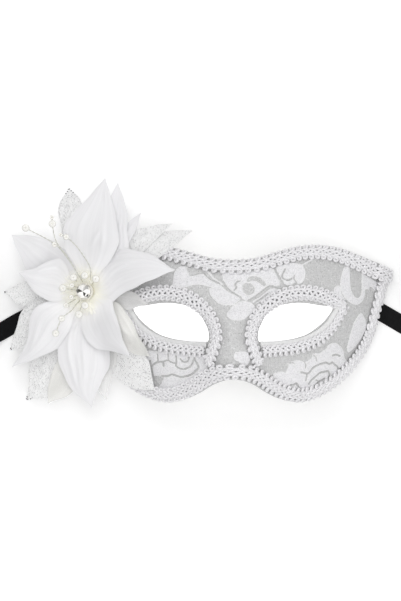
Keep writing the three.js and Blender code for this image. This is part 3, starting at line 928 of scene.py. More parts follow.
class Wardrobe:
    """Every finish of the mask, ready to put on a piece."""

    def __init__(self) -> None:
        """Builds the shared effects and the finishes."""
        effects = Effects()
        cloth = {"Sheen Weight": 0.3, "Sheen Roughness": 0.4}
        # Painted light: the stamen threads glow a little, lifting the shade between them in the flower's heart.
        painted_stamen_glow = {"Emission Color": (1.0, 0.98, 0.88, 1.0), "Emission Strength": 0.13}
        finishes = {
            "lace": LaceFinish(settings=cloth),
            "silver": Finish("silver_glitter_band", grey(0.62), 0.5, {"Metallic": 0.15}),
            "lining": Finish("felt_lining", grey(0.74, 0.01), 0.9, cloth),
            "yarn": YarnFinish("white_gimp_yarn", (0.965, 0.957, 0.975, 1.0), 0.62, cloth),
            # Painted shade: the dark ground tape shows through the braid's gaps as their shade.
            "tape": Finish("gimp_ground_painted_shade", grey(0.48), 0.8, cloth),
            "hem": Finish("white_gimp_hem", grey(0.86), 0.8, cloth),
            # Painted light: the emission strength sets the satin petals' glow near their feet.
            "satin": PetalFinish("white_petal_satin", (0.9, 0.896, 0.91, 1.0), 0.6,
                                 {"Emission Strength": 0.17} | cloth),
            "sheer": SheerFinish("white_organza", grey(0.97, 0.004), 0.5, cloth, solid=0.6),
            "cream": SheerFinish("cream_organza", (0.98, 0.975, 0.945, 1.0), 0.5, cloth, solid=0.9,
                                 tip_cover=0.5),
            # Painted light: the emission strengths make the glitter cloths glow.
            "glitter": GlitterFinish("silver_flake_organza", grey(1.0), 0.5,
                                     {"Emission Strength": 0.12} | cloth),
            "sparse": GlitterFinish("white_flake_organza", grey(1.0), 0.5,
                                    {"Emission Strength": 0.27} | cloth, solid=0.97, dull=0.3, fineness=1.3),
            "core": YarnFinish("cream_binding_thread", (0.72, 0.69, 0.55, 1.0), 0.7, cloth),
            "tuft": Finish("cream_stamen_thread", (1.0, 0.99, 0.92, 1.0), 0.7, painted_stamen_glow | cloth),
            "bead": Finish("silver_seed_bead", grey(0.97), 0.4, {"Metallic": 0.05}),
            "jet": Finish("dark_seed_bead", grey(0.03), 0.15),
            "metal": Finish("silver_plate", (0.95, 0.93, 0.86, 1.0), 0.45, {"Metallic": 0.35}),
            "wire": Finish("silver_wire", (0.76, 0.76, 0.71, 1.0), 0.4, {"Metallic": 0.3}),
            "pearl": PearlFinish(settings={"Coat Weight": 0.7, "Coat Roughness": 0.08}),
            # Painted light: the stone glows a little.
            "stone": StoneFinish(settings={"Transmission Weight": 0.1, "IOR": 1.55,
                                           "Emission Strength": 0.22}),
            "ribbon": RibbonFinish(settings={"Specular IOR Level": 0.1}),
            "floor": FloorFinish(settings={"Emission Strength": 1.0}),
        }
        self.materials = {key: finish.build(effects) for key, finish in finishes.items()}

    def __getitem__(self, key: str) -> bpy.types.Material:
        """Gives one finish's material."""
        return self.materials[key]


def in_scene(name: str, data: bpy.types.ID) -> bpy.types.Object:
    """Puts a mesh, a lamp or a camera into the scene.

    Args:
        name: The object's name.
        data: What it shows.

    Returns:
        The new object.
    """
    held = bpy.data.objects.new(name, data)
    bpy.context.scene.collection.objects.link(held)
    return held


class Workshop:
    """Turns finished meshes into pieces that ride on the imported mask."""

    def __init__(self, wardrobe: Wardrobe) -> None:
        """Takes the finishes to dress the pieces in."""
        self.wardrobe = wardrobe

    def piece(self, name: str, mesh: Mesh, finishes: Sequence[str], slot: Slot,
              replaces: Sequence[str] = ()) -> bpy.types.Object:
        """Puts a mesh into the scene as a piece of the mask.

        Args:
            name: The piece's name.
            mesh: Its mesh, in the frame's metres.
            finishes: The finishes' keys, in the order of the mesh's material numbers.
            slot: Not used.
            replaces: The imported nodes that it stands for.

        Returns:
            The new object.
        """
        mesh.name = name
        made = in_scene(name, mesh)
        for key in finishes:
            mesh.materials.append(self.wardrobe[key])
        mesh.polygons.foreach_set("use_smooth", [True] * len(mesh.polygons))
        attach(made, "root")
        if replaces:
            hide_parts(*replaces)
        LOG.info("%s: %d faces", name, len(mesh.polygons))
        return made


class Assembly:
    """A sub-assembly of the mask, whose pieces the shared workshop takes."""

    workshop: ClassVar[Workshop]

    def build(self) -> None:
        """Makes the pieces, as each sub-assembly does in its own way."""
        raise NotImplementedError


def close_mesh(shape: Shape) -> Mesh:
    """Turns a bmesh into a mesh and frees it.

    Args:
        shape: The bmesh.

    Returns:
        The mesh.
    """
    mesh = bpy.data.meshes.new("mesh")
    shape.to_mesh(mesh)
    shape.free()
    return mesh


def set_corners(mesh: Mesh, places: Rows) -> Mesh:
    """Moves a mesh's corners to places in the mask's millimetres.

    Args:
        mesh: The mesh.
        places: One row for each corner.

    Returns:
        The same mesh.
    """
    mesh.vertices.foreach_set("co", to_frame(places).ravel())
    mesh.update()
    return mesh


def grid_sheet(cells: tuple[int, int], at: Callable[[Rows, Rows], Rows], stretch: Pair = (1.0, 1.0)) -> Mesh:
    """Bends a square grid into a sheet.

    Args:
        cells: How many cells it has each way.
        at: Gives the places, in the mask's millimetres, for numbers from 0 to 1 each way.
        stretch: What the UV map's two directions are multiplied by.

    Returns:
        The sheet's mesh, with its UV map.
    """
    shape = bmesh.new()
    bmesh.ops.create_grid(shape, x_segments=cells[0], y_segments=cells[1], size=0.5)
    mapped = shape.loops.layers.uv.new("UVMap")
    for loop in (loop for face in shape.faces for loop in face.loops):
        place = loop.vert.co
        loop[mapped].uv = ((place.x + 0.5) * stretch[0], (place.y + 0.5) * stretch[1])
    mesh = close_mesh(shape)
    flat = np.empty(len(mesh.vertices) * 3)
    mesh.vertices.foreach_get("co", flat)
    u, v = np.clip(flat.reshape(-1, 3)[:, :2] + 0.5, 0.0, 1.0).T
    return set_corners(mesh, at(u, v))


def tube_mesh(lines: Sequence[Rows], radius: float, sides: int = 6, closed: bool = False) -> Mesh:
    """Makes round cords along lines.

    Args:
        lines: The lines, in the mask's millimetres.
        radius: The cords' radius, in millimetres.
        sides: How many flats each cord has around, 4, 6 or 8.
        closed: Whether each line joins its own start.

    Returns:
        One mesh, with a UV map of millimetres along and turns around.
    """
    meshes = []
    for line in lines:
        drawn = bpy.data.curves.new("cord", "CURVE")
        drawn.dimensions = "3D"
        drawn.bevel_depth = radius * MM
        drawn.bevel_resolution = (sides - 4) // 2
        drawn.use_fill_caps = not closed
        places = np.column_stack([to_frame(line), np.ones(len(line))])
        run = drawn.splines.new("POLY")
        run.points.add(len(line) - 1)
        run.points.foreach_set("co", places.ravel())
        run.use_cyclic_u = closed
        held = bpy.data.objects.new("cord", drawn)
        mesh = bpy.data.meshes.new_from_object(held)
        bpy.data.objects.remove(held)
        bpy.data.curves.remove(drawn)
        mapped = np.empty(len(mesh.loops) * 2)
        mesh.uv_layers[0].data.foreach_get("uv", mapped)
        mapped[::2] *= distance_along(line)[-1]
        mesh.uv_layers[0].data.foreach_set("uv", mapped)
        meshes.append(mesh)
    return joined(meshes)


def joined(meshes: Sequence[Mesh], numbers: Sequence[int] = ()) -> Mesh:
    """Makes one mesh of several.

    Args:
        meshes: The meshes, which are used up.
        numbers: The material number that each gets.

    Returns:
        The joined mesh.
    """
    shape = bmesh.new()
    for index, mesh in enumerate(meshes):
        start = len(shape.faces)
        shape.from_mesh(mesh)
        shape.faces.ensure_lookup_table()
        number = numbers[index] if numbers else 0
        for face in shape.faces[start:]:
            face.material_index = number
        bpy.data.meshes.remove(mesh)
    return close_mesh(shape)


def solidified(made: bpy.types.Object, thick: float, rim: int = 0, inner: int = 0,
               offset: float = -1.0) -> None:
    """Gives a sheet its thickness, with crisp borders.

    Args:
        made: The sheet's object.
        thick: The thickness, in millimetres.
        rim: The step in material number of the rim.
        inner: The step in material number of the back.
        offset: The side that the thickness goes to, from -1 behind the sheet to 1 before it.
    """
    mesh = made.data
    sides = np.empty(len(mesh.loops), dtype=np.int32)
    mesh.loops.foreach_get("edge_index", sides)
    border = np.bincount(sides, minlength=len(mesh.edges)) == 1
    mesh.attributes.new("sharp_edge", "BOOLEAN", "EDGE").data.foreach_set("value", border)
    wall = made.modifiers.new("thickness", "SOLIDIFY")
    wall.thickness = thick * MM
    wall.offset = offset
    wall.material_offset_rim = rim
    wall.material_offset = inner


def spun(profile: Sequence[Pair], segments: int) -> Shape:
    """Turns a profile of radius and height about the Z axis into a closed skin.

    Args:
        profile: Its corners, from the axis back to the axis.
        segments: How many steps the turn has.

    Returns:
        The skin.
    """
    shape = bmesh.new()
    corners = [shape.verts.new((radius, 0.0, height)) for radius, height in profile]
    edges = [shape.edges.new(pair) for pair in zip(corners, corners[1:])]
    bmesh.ops.spin(shape, geom=corners + edges, cent=(0, 0, 0), axis=(0, 0, 1), dvec=(0, 0, 0),
                   angle=math.tau, steps=segments, use_merge=True, use_duplicate=False)
    bmesh.ops.remove_doubles(shape, verts=shape.verts, dist=1e-5)
    bmesh.ops.recalc_face_normals(shape, faces=shape.faces)
    return shape


def ball(shape: Shape, centre: Sequence[float], radius: float, fine: int) -> None:
    """Adds an even ball to a shape that is drawn in millimetres."""
    bmesh.ops.create_icosphere(shape, subdivisions=fine, radius=radius, matrix=Matrix.Translation(centre))


def placed_mesh(shape: Shape) -> Mesh:
    """Carries a shape in the mask's millimetres into the frame and closes it.

    Args:
        shape: The shape.

    Returns:
        Its mesh.
    """
    bmesh.ops.transform(shape, matrix=Matrix.Diagonal((MM, MM, MM, 1.0)) @ Matrix.Translation(SEAT),
                        verts=shape.verts)
    return close_mesh(shape)


@dataclass(frozen=True)
class Motif:
    """One outline or line of the lace pattern, in plan."""

    stitch: Stitch
    points: tuple[Pair, ...]
    width: float = 0.0
    both_sides: bool = False


def plan_sheet(cell: float) -> tuple[Mesh, Rows]:
    """Cuts a flat grid to the mask's outline and eye openings, its border drawn to the outlines.

    Args:
        cell: The grid's cell size, in millimetres.

    Returns:
        The flat grid, and its corners' plan places.
    """
    reach = (98.0, 50.0)
    shape = bmesh.new()
    counts = [round(2 * half / cell) for half in reach]
    bmesh.ops.create_grid(shape, x_segments=counts[0], y_segments=counts[1], size=1.0,
                          matrix=Matrix.Diagonal((*reach, 1.0, 1.0)))
    outlines = [(PLAN.outline(0.8), 1.0)] + [(hole, -1.0) for hole in PLAN.eye_outlines(0.8)]
    places = np.array([vertex.co[:2] for vertex in shape.verts])
    room = np.full(len(places), np.inf)
    for outline, sign in outlines:
        low, high = outline.min(axis=0) - 3.0, outline.max(axis=0) + 3.0
        near = np.all((places > low) & (places < high), axis=1)
        distance = np.full(len(places), -3.0)
        distance[near] = line_distance(places[near], outline, closed=True)
        room = np.minimum(room, sign * distance)
    outside = [vertex for vertex, free in zip(list(shape.verts), room) if free <= -0.35 * cell]
    bmesh.ops.delete(shape, geom=outside, context="VERTS")
    loose = [vertex for vertex in shape.verts if not vertex.link_faces]
    bmesh.ops.delete(shape, geom=loose, context="VERTS")
    for vertex in (vertex for vertex in shape.verts if vertex.is_boundary):
        spot = np.array(vertex.co[:2])
        vertex.co[:2] = min((nearest_on(outline, spot) for outline, _ in outlines),
                            key=lambda place: float(np.linalg.norm(place - spot)))
    places = np.array([vertex.co[:2] for vertex in shape.verts])
    return close_mesh(shape), places


def nearest_on(outline: Rows, spot: Rows) -> Rows:
    """Gives the place on a closed outline that is nearest to a spot.

    Args:
        outline: The outline's corners.
        spot: The spot in plan.

    Returns:
        The place.
    """
    runs = np.roll(outline, -1, axis=0) - outline
    part = np.clip(((spot - outline) * runs).sum(axis=1) / (runs * runs).sum(axis=1), 0.0, 1.0)
    places = outline + part[:, None] * runs
    return places[np.argmin(np.linalg.norm(places - spot, axis=1))]


@dataclass
class LaceCover(Assembly):
    """The moulded mask with its lining, its silver cloth and the lace stretched over it.

    The motifs are worked in their order: solids, stems, then the gaps and creases that cut them.
    """

    motifs: tuple[Motif, ...]
    lace_cell: float = 0.52
    body_cell: float = 1.4
    wall: float = 1.3
    cloth_thick: float = 0.22
    stitch_rise: float = 0.34
    dome_rise: float = 0.14
    crease_more: float = 0.1
    bare_depth: float = -1.5
    no_crease: float = -1.0
    full_depth: float = 4.0

    def depth(self, places: Rows) -> tuple[Rows, Rows]:
        """Gives how deep inside the woven pattern, and inside its creases, each plan place lies.

        Args:
            places: Rows of x and y.

        Returns:
            Millimetres to the nearest edge of the pattern, below 0 on the bare net, and to the edge
            of a crease, above 0 inside it.
        """
        depth = np.full(len(places), self.bare_depth)
        crease = np.full(len(places), self.no_crease)
        for motif in self.motifs:
            self.stitch_in(depth, crease, places, motif, motif.points)
            if motif.both_sides:
                self.stitch_in(depth, crease, places, motif, mirrored(motif.points))
        return depth, crease

    def stitch_in(self, depth: Rows, crease: Rows, places: Rows, motif: Motif,
                  line: Sequence[Pair]) -> None:
        """Works one outline or line into the depths.

        Args:
            depth: The pattern's depths, which are changed.
            crease: The creases' depths, which are changed.
            places: Rows of x and y.
            motif: What the line stands for.
            line: Its corners, on one side of the nose.
        """
        closed = motif.stitch in (Stitch.SOLID, Stitch.GAP)
        drawn = spline(line, 0.7, closed=closed)
        low, high = drawn.min(axis=0) - 2.5, drawn.max(axis=0) + 2.5
        near = np.all((places > low) & (places < high), axis=1)
        if not near.any():
            return
        distance = line_distance(places[near], drawn[:-1] if closed else drawn, closed)
        if motif.stitch is Stitch.SOLID:
            depth[near] = np.maximum(depth[near], distance)
        elif motif.stitch is Stitch.STEM:
            depth[near] = np.maximum(depth[near], motif.width / 2.0 - distance)
        elif motif.stitch is Stitch.GAP:
            depth[near] = np.minimum(depth[near], -distance)
        else:
            inside = motif.width / 2.0 + self.crease_more - distance
            depth[near] = np.minimum(depth[near], -inside)
            crease[near] = np.maximum(crease[near], inside)

    def relief(self, depth: Rows) -> Rows:
        """Gives how far the lace stands over the silver cloth."""
        dome = self.dome_rise * smooth_step(depth, 0.4, self.full_depth)
        return self.stitch_rise * smooth_step(depth, -0.15, 0.5) + dome

    def build(self) -> None:
        """Makes the cover and the body under it."""
        mesh, places = plan_sheet(self.lace_cell)
        depth, crease = self.depth(places)
        set_corners(mesh, FORM.on_front(places[:, 0], places[:, 1], self.relief(depth)))
        for name, values in (("lace_depth", depth), ("lace_crease", crease)):
            layer = mesh.attributes.new(name, "FLOAT", "POINT")
            held = np.clip(values, self.bare_depth, self.full_depth).astype(np.float32)
            layer.data.foreach_set("value", held)
        cover = self.workshop.piece("lace_cover", mesh, ["lace"], Slot.CLOTH)
        solidified(cover, self.cloth_thick)
        mesh, places = plan_sheet(self.body_cell)
        set_corners(mesh, FORM.on_front(places[:, 0], places[:, 1], -self.cloth_thick))
        body = self.workshop.piece("mask_body", mesh, ["silver", "lining", "silver"], Slot.CLOTH,
                                   ["mask_shell"])
        solidified(body, self.wall, rim=2, inner=1)


@dataclass
class GimpBraid(Assembly):
    """A scroll gimp: a yarn looped in rings along each edge, and a three-yarn plait between them."""

    edge: str
    points: Sequence[Pair]
    right: float
    left: float
    pitch: float = 3.9
    start: float = 0.0
    fold: float = 0.0
    longer: Pair = (0.0, 0.0)
    radius: float = 0.78
    curl: float = 1.75
    loop: float = 1.12
    plain: float = 0.0
    loop_steps: float = 26.0
    ground_inset: float = 1.3
    ground_thick: float = 0.35
    hem_half: float = 1.8
    hem_inset: float = 1.4
    hem_thick: float = 0.8
    tape_end: float = 0.4
    tape_lift: float = 0.15
    taper: float = 0.0
    taper_share: float = 0.5
    low: float = 0.25
    weave: float = 0.5
    plait_half: float = 1.35
    plait_radius: float = 0.74
    plait_rise: float = 0.95
    plait_weave: float = 0.32
    plait_steps: float = 34.0
    fold_reach: Pair = (11.0, 15.0)

    def build(self) -> None:
        """Makes the braid."""
        path = EdgePath(self.points, self.longer)
        middle, half = (self.right + self.left) / 2.0, abs(self.left - self.right) / 2.0
        count = max(1, round((path.length - self.start) / self.pitch))
        pitch = (path.length - self.start) / count
        meshes = []
        turns = np.arange(0.0, math.tau * count, math.tau / self.loop_steps)
        for side in (-1.0, 1.0):
            if side == self.plain:
                continue
            phase = turns - side * math.pi / 2.0
            along = self.start + pitch * turns / math.tau - self.curl * np.sin(phase)
            across = half - self.radius - self.loop * (1.0 - np.cos(phase))
            height = self.low + self.radius + self.weave * (1.0 + np.sin(phase))
            meshes += self.cords(path, along, middle + side * across, height, self.radius)
        turns = np.arange(0.0, math.tau * count / 3.0, math.tau / self.plait_steps)
        along = self.start + 3.0 * pitch * turns / math.tau
        base = self.low + self.plait_rise + self.plait_radius
        for yarn in range(3):
            swing = turns + math.tau * yarn / 3.0
            height = base + self.plait_weave * (1.0 + np.sin(2.0 * swing))
            across = middle + self.plait_half * np.sin(swing)
            meshes += self.cords(path, along, across, height, self.plait_radius)
        # The ground tape's dark finish paints the shade seen between the loops.
        tapes = [self.ground(path, middle, half - self.ground_inset, self.ground_thick)]
        if self.plain:
            hem = middle + self.plain * (half - self.hem_inset)
            tapes.append(self.ground(path, hem, self.hem_half, self.hem_thick))
        numbers = [0] * len(meshes) + [1, 2][:len(tapes)]
        mesh = joined(meshes + tapes, numbers)
        self.workshop.piece(f"gimp_{self.edge}", mesh, ["yarn", "tape", "hem"], Slot.BRAID,
                            [f"braid_{self.edge}"])

    def cords(self, path: EdgePath, along: Rows, across: Rows, height: Rows, radius: float) -> list[Mesh]:
        """Makes one yarn, cut where it would leave the braid's two ends.

        Args:
            path: The line that the braid follows.
            along: The yarn's distances along it.
            across: Its distances to the left of it.
            height: Its heights over the front.
            radius: The yarn's radius.

        Returns:
            One mesh, or none where nothing of the yarn is left.
        """
        height = height + self.fold * (1.0 - smooth_step(along, *self.fold_reach))
        if self.taper:
            across = across * (1.0 - self.taper_share * (1.0 - smooth_step(along, 0.0, self.taper)))
        places = path.at(along, across, height)
        inside = (along > self.start + radius) & (along < path.length - radius)
        runs = np.split(np.arange(len(along)), np.flatnonzero(np.diff(inside.astype(int))) + 1)
        lines = [places[run] for run in runs if inside[run[0]] and len(run) > 3]
        return [tube_mesh(lines, radius)] if lines else []

    def ground(self, path: EdgePath, middle: float, wide: float, thick: float) -> Mesh:
        """Makes a narrow woven tape that the yarns are worked on.

        Args:
            path: The line that the braid follows.
            middle: How far the tape's middle lies from it.
            wide: Half of the tape's width.
            thick: Half of its thickness.

        Returns:
            The tape's mesh.
        """

        def at(u: Rows, v: Rows) -> Rows:
            """Gives the tape's places, as a flat loop around its section.

            Args:
                u: From 0 to 1 along.
                v: From 0 to 1 across.

            Returns:
                One row of x, y and z for each.
            """
            turn = v * math.tau
            along = self.start + self.tape_end + u * (path.length - self.start - 2.0 * self.tape_end)
            height = self.low + self.tape_lift + thick * (1.0 + np.sin(turn))
            height += self.fold * (1.0 - smooth_step(along, *self.fold_reach))
            return path.at(along, middle + wide * np.cos(turn), height)

        mesh = grid_sheet((max(8, round(path.length / 1.5)), 8), at)
        shape = bmesh.new()
        shape.from_mesh(mesh)
        bpy.data.meshes.remove(mesh)
        bmesh.ops.remove_doubles(shape, verts=shape.verts, dist=0.02 * MM)
        bmesh.ops.holes_fill(shape, edges=[edge for edge in shape.edges if edge.is_boundary], sides=0)
        bmesh.ops.recalc_face_normals(shape, faces=shape.faces)
        return close_mesh(shape)


@dataclass
class RimBinding(Assembly):
    """The narrow rolled binding that closes the shell's edge under the braid."""

    radius: float = 0.95
    height: float = -0.75
    inset: float = 0.35

    def build(self) -> None:
        """Makes the binding all round the outline."""
        outline = PLAN.outline(1.0)
        normal = FORM.normal(outline[:, 0], outline[:, 1])
        travel = unit(np.roll(outline, -1, axis=0) - np.roll(outline, 1, axis=0))
        plan = outline + np.column_stack([-travel[:, 1], travel[:, 0]]) * self.inset
        line = np.column_stack([plan, FORM.front(plan[:, 0], plan[:, 1])]) + normal * self.height
        line[:, 2] = np.maximum(line[:, 2], TABLE + self.radius)
        mesh = tube_mesh([line], self.radius, sides=8, closed=True)
        self.workshop.piece("rim_binding", mesh, ["silver"], Slot.CLOTH)


class PetalKind(Enum):
    """The cloths that the flower's leaves are cut from."""

    SATIN = "satin"
    SHEER = "sheer"
    CREAM = "cream"
    GLITTER = "glitter"
    SPARSE = "sparse"


@dataclass(frozen=True)
class Fold:
    """A fold in a leaf, between two places given as a share along and from -1 to 1 across."""

    start: Pair
    end: Pair
    width: float
    rise: float


@dataclass(frozen=True)
class Leaf:
    """One leaf of the flower, in polar sizes about its centre, in millimetres and degrees."""

    node: str
    kind: PetalKind
    angle: float
    reach: float
    layer: float
    arch: float
    tip: float
    crown: float
    left: tuple[float, ...]
    right: tuple[float, ...]
    folds: tuple[Fold, ...] = ()
    beads: int | None = None


@dataclass
class FabricFlower(Assembly):
    """The fabric flower on the temple: its leaves, and the middle that its heart and pearls share."""

    leaves: tuple[Leaf, ...]
    centre: Pair = (-83.2, 18.8)
    floor: float = 10.0
    tilt: float = 0.2
    pivot: float = 26.0
    start: float = 4.3
    plan_start: float = 6.9
    layer_step: float = 1.55
    clear: float = 3.1
    blend: float = 4.0
    foot_half: float = 4.7
    tip_half: float = 0.3
    cloth_thick: float = 0.22
    solid_thick: float = 0.5
    ripple: float = 0.01
    edge_wave: float = 0.25
    bead_radius: float = 0.36
    bead_lift: float = 0.3
    bead_run: Pair = (0.25, 0.995)
    bead_sides: Pair = (0.03, 0.97)
    beads_per_mm: float = 0.62

    def rest(self, x: Rows, y: Rows) -> Rows:
        """Gives the height that a leaf of the lowest layer rests at.

        Args:
            x: Places across the face, in millimetres.
            y: Places towards the brow, in millimetres.

        Returns:
            The heights, in millimetres.
        """
        over = FORM.front(x, y) + self.clear / FORM.normal(x, y)[..., 2]
        gap = self.floor - over
        return (self.floor + over + np.sqrt(gap * gap + self.blend * self.blend)) / 2.0

    def side(self, widths: Sequence[float], way: Rows) -> Rows:
        """Gives how far one side of a leaf stands from its middle line.

        Args:
            widths: The side's distances at even steps between the foot and the tip.
            way: Places along, from 0 at the foot to 1 at the tip.

        Returns:
            The distances, on a smooth curve through the given ones.
        """
        known = np.array([self.foot_half, *widths, self.tip_half])
        last = len(known) - 1
        spot = np.clip(way, 0.0, 1.0) * last
        step = np.minimum(spot.astype(int), last - 1)
        part = spot - step
        before, first = known[np.maximum(step - 1, 0)], known[step]
        second, after = known[step + 1], known[np.minimum(step + 2, last)]
        leave, arrive = (second - before) / 2.0, (after - first) / 2.0
        cubic = 2.0 * (first - second) + leave + arrive
        square = 3.0 * (second - first) - 2.0 * leave - arrive
        return ((cubic * part + square) * part + leave) * part + first

    def surface(self, leaf: Leaf, u: Rows, v: Rows) -> Rows:
        """Gives places on a leaf.

        Args:
            leaf: The leaf.
            u: From 0 at the foot to 1 at the tip.
            v: From 0 to 1 across.

        Returns:
            One row of x, y and z for each.
        """
        bearing = math.radians(leaf.angle)
        across = v * 2.0 - 1.0
        out = self.start + (leaf.reach - self.start) * u
        way = np.clip((out - self.plan_start) / (leaf.reach - self.plan_start), 0.0, 1.0)
        left, right = self.side(leaf.left, way), self.side(leaf.right, way)
        body = np.sin(math.pi * way) ** 0.5
        aside = left * v - right * (1.0 - v)
        aside = aside + self.edge_wave * body * np.abs(across) ** 3 * np.sin(out / 2.3 + leaf.angle + across)
        x = self.centre[0] + out * math.cos(bearing) - aside * math.sin(bearing)
        y = self.centre[1] + out * math.sin(bearing) + aside * math.cos(bearing)
        bend = (leaf.arch - leaf.crown * across * across) * np.sin(math.pi * way)
        z = self.rest(x, y) + leaf.layer * self.layer_step + bend + leaf.tip * way * way
        z = z + self.solid_thick / 2.0
        half = (left + right) / 2.0
        for fold in leaf.folds:
            span = fold.end[0] - fold.start[0]
            part = np.clip((way - fold.start[0]) / span, 0.0, 1.0)
            middle = fold.start[1] + (fold.end[1] - fold.start[1]) * part
            fade = smooth_step(way, fold.start[0] - 0.04, fold.start[0] + 0.12)
            fade = fade * (1.0 - smooth_step(way, fold.end[0] - 0.2, fold.end[0] + 0.02))
            z = z + fold.rise * fade * np.exp(-(((across - middle) * half / fold.width) ** 2))
        swell = np.sin(out / 6.1 + 2.0 * across + leaf.angle) * np.sin(aside / 3.7 + leaf.angle)
        ripple = np.sin(aside / 0.9 + 0.6 * np.sin(out / 5.0) + leaf.angle)
        z = z + body * (self.ripple * ripple + 0.22 * swell)
        z = z + 0.4 * body * np.sin(out / 4.6 + leaf.angle) * np.abs(across) ** 4
        return np.stack([x, y, z], axis=-1)

    def flat_area(self, leaf: Leaf) -> float:
        """Gives the area that a leaf was cut to, in square metres.

        Args:
            leaf: The leaf.

        Returns:
            The area.
        """
        out = np.linspace(self.start, leaf.reach, 200)
        way = (out - self.plan_start) / (leaf.reach - self.plan_start)
        wide = self.side(leaf.left, way) + self.side(leaf.right, way)
        return float(np.mean(wide) * (leaf.reach - self.start)) * MM * MM

    def make_leaf(self, leaf: Leaf) -> None:
        """Makes one leaf, with seed beads along its edges where it has them.

        Args:
            leaf: The leaf.
        """
        widest = max(wide + other for wide, other in zip(leaf.left, leaf.right))
        cells = (max(30, round(leaf.reach * 1.4)), max(18, round(widest * 1.7)))
        mesh = grid_sheet(cells, lambda u, v: self.surface(leaf, u, v))
        slot = {PetalKind.SATIN: Slot.SATIN, PetalKind.GLITTER: Slot.GLITTER}.get(leaf.kind, Slot.SHEER)
        made = self.workshop.piece(f"{leaf.node}_cloth", mesh, [leaf.kind.value], slot, [leaf.node])
        solidified(made, self.cloth_thick)
        width, length = widest * MM, (leaf.reach - self.start) * MM
        area = min(max(self.flat_area(leaf), 0.31 * width * length), width * length)
        max(width, 0.01)
        if leaf.beads is not None:
            self.bead_edge(leaf)

    def bead_edge(self, leaf: Leaf) -> None:
        """Sews a row of seed beads along each edge of a leaf, the last ones dark.

        Args:
            leaf: The leaf.
        """
        way = np.linspace(*self.bead_run, max(20, round(leaf.reach * self.beads_per_mm)))
        shape = bmesh.new()
        count = 0
        for side in self.bead_sides:
            places = self.surface(leaf, way, np.full_like(way, side))
            for index, place in enumerate(places):
                ball(shape, place + np.array([0.0, 0.0, self.bead_lift]), self.bead_radius, 1)
                shape.faces.ensure_lookup_table()
                dark = index >= len(way) - leaf.beads
                for face in shape.faces[count:]:
                    face.material_index = int(dark)
                count = len(shape.faces)
        self.workshop.piece(f"{leaf.node}_beads", placed_mesh(shape), ["bead", "jet"], Slot.GLITTER)

    def build(self) -> None:
        """Makes every leaf."""
        for leaf in self.leaves:
            self.make_leaf(leaf)


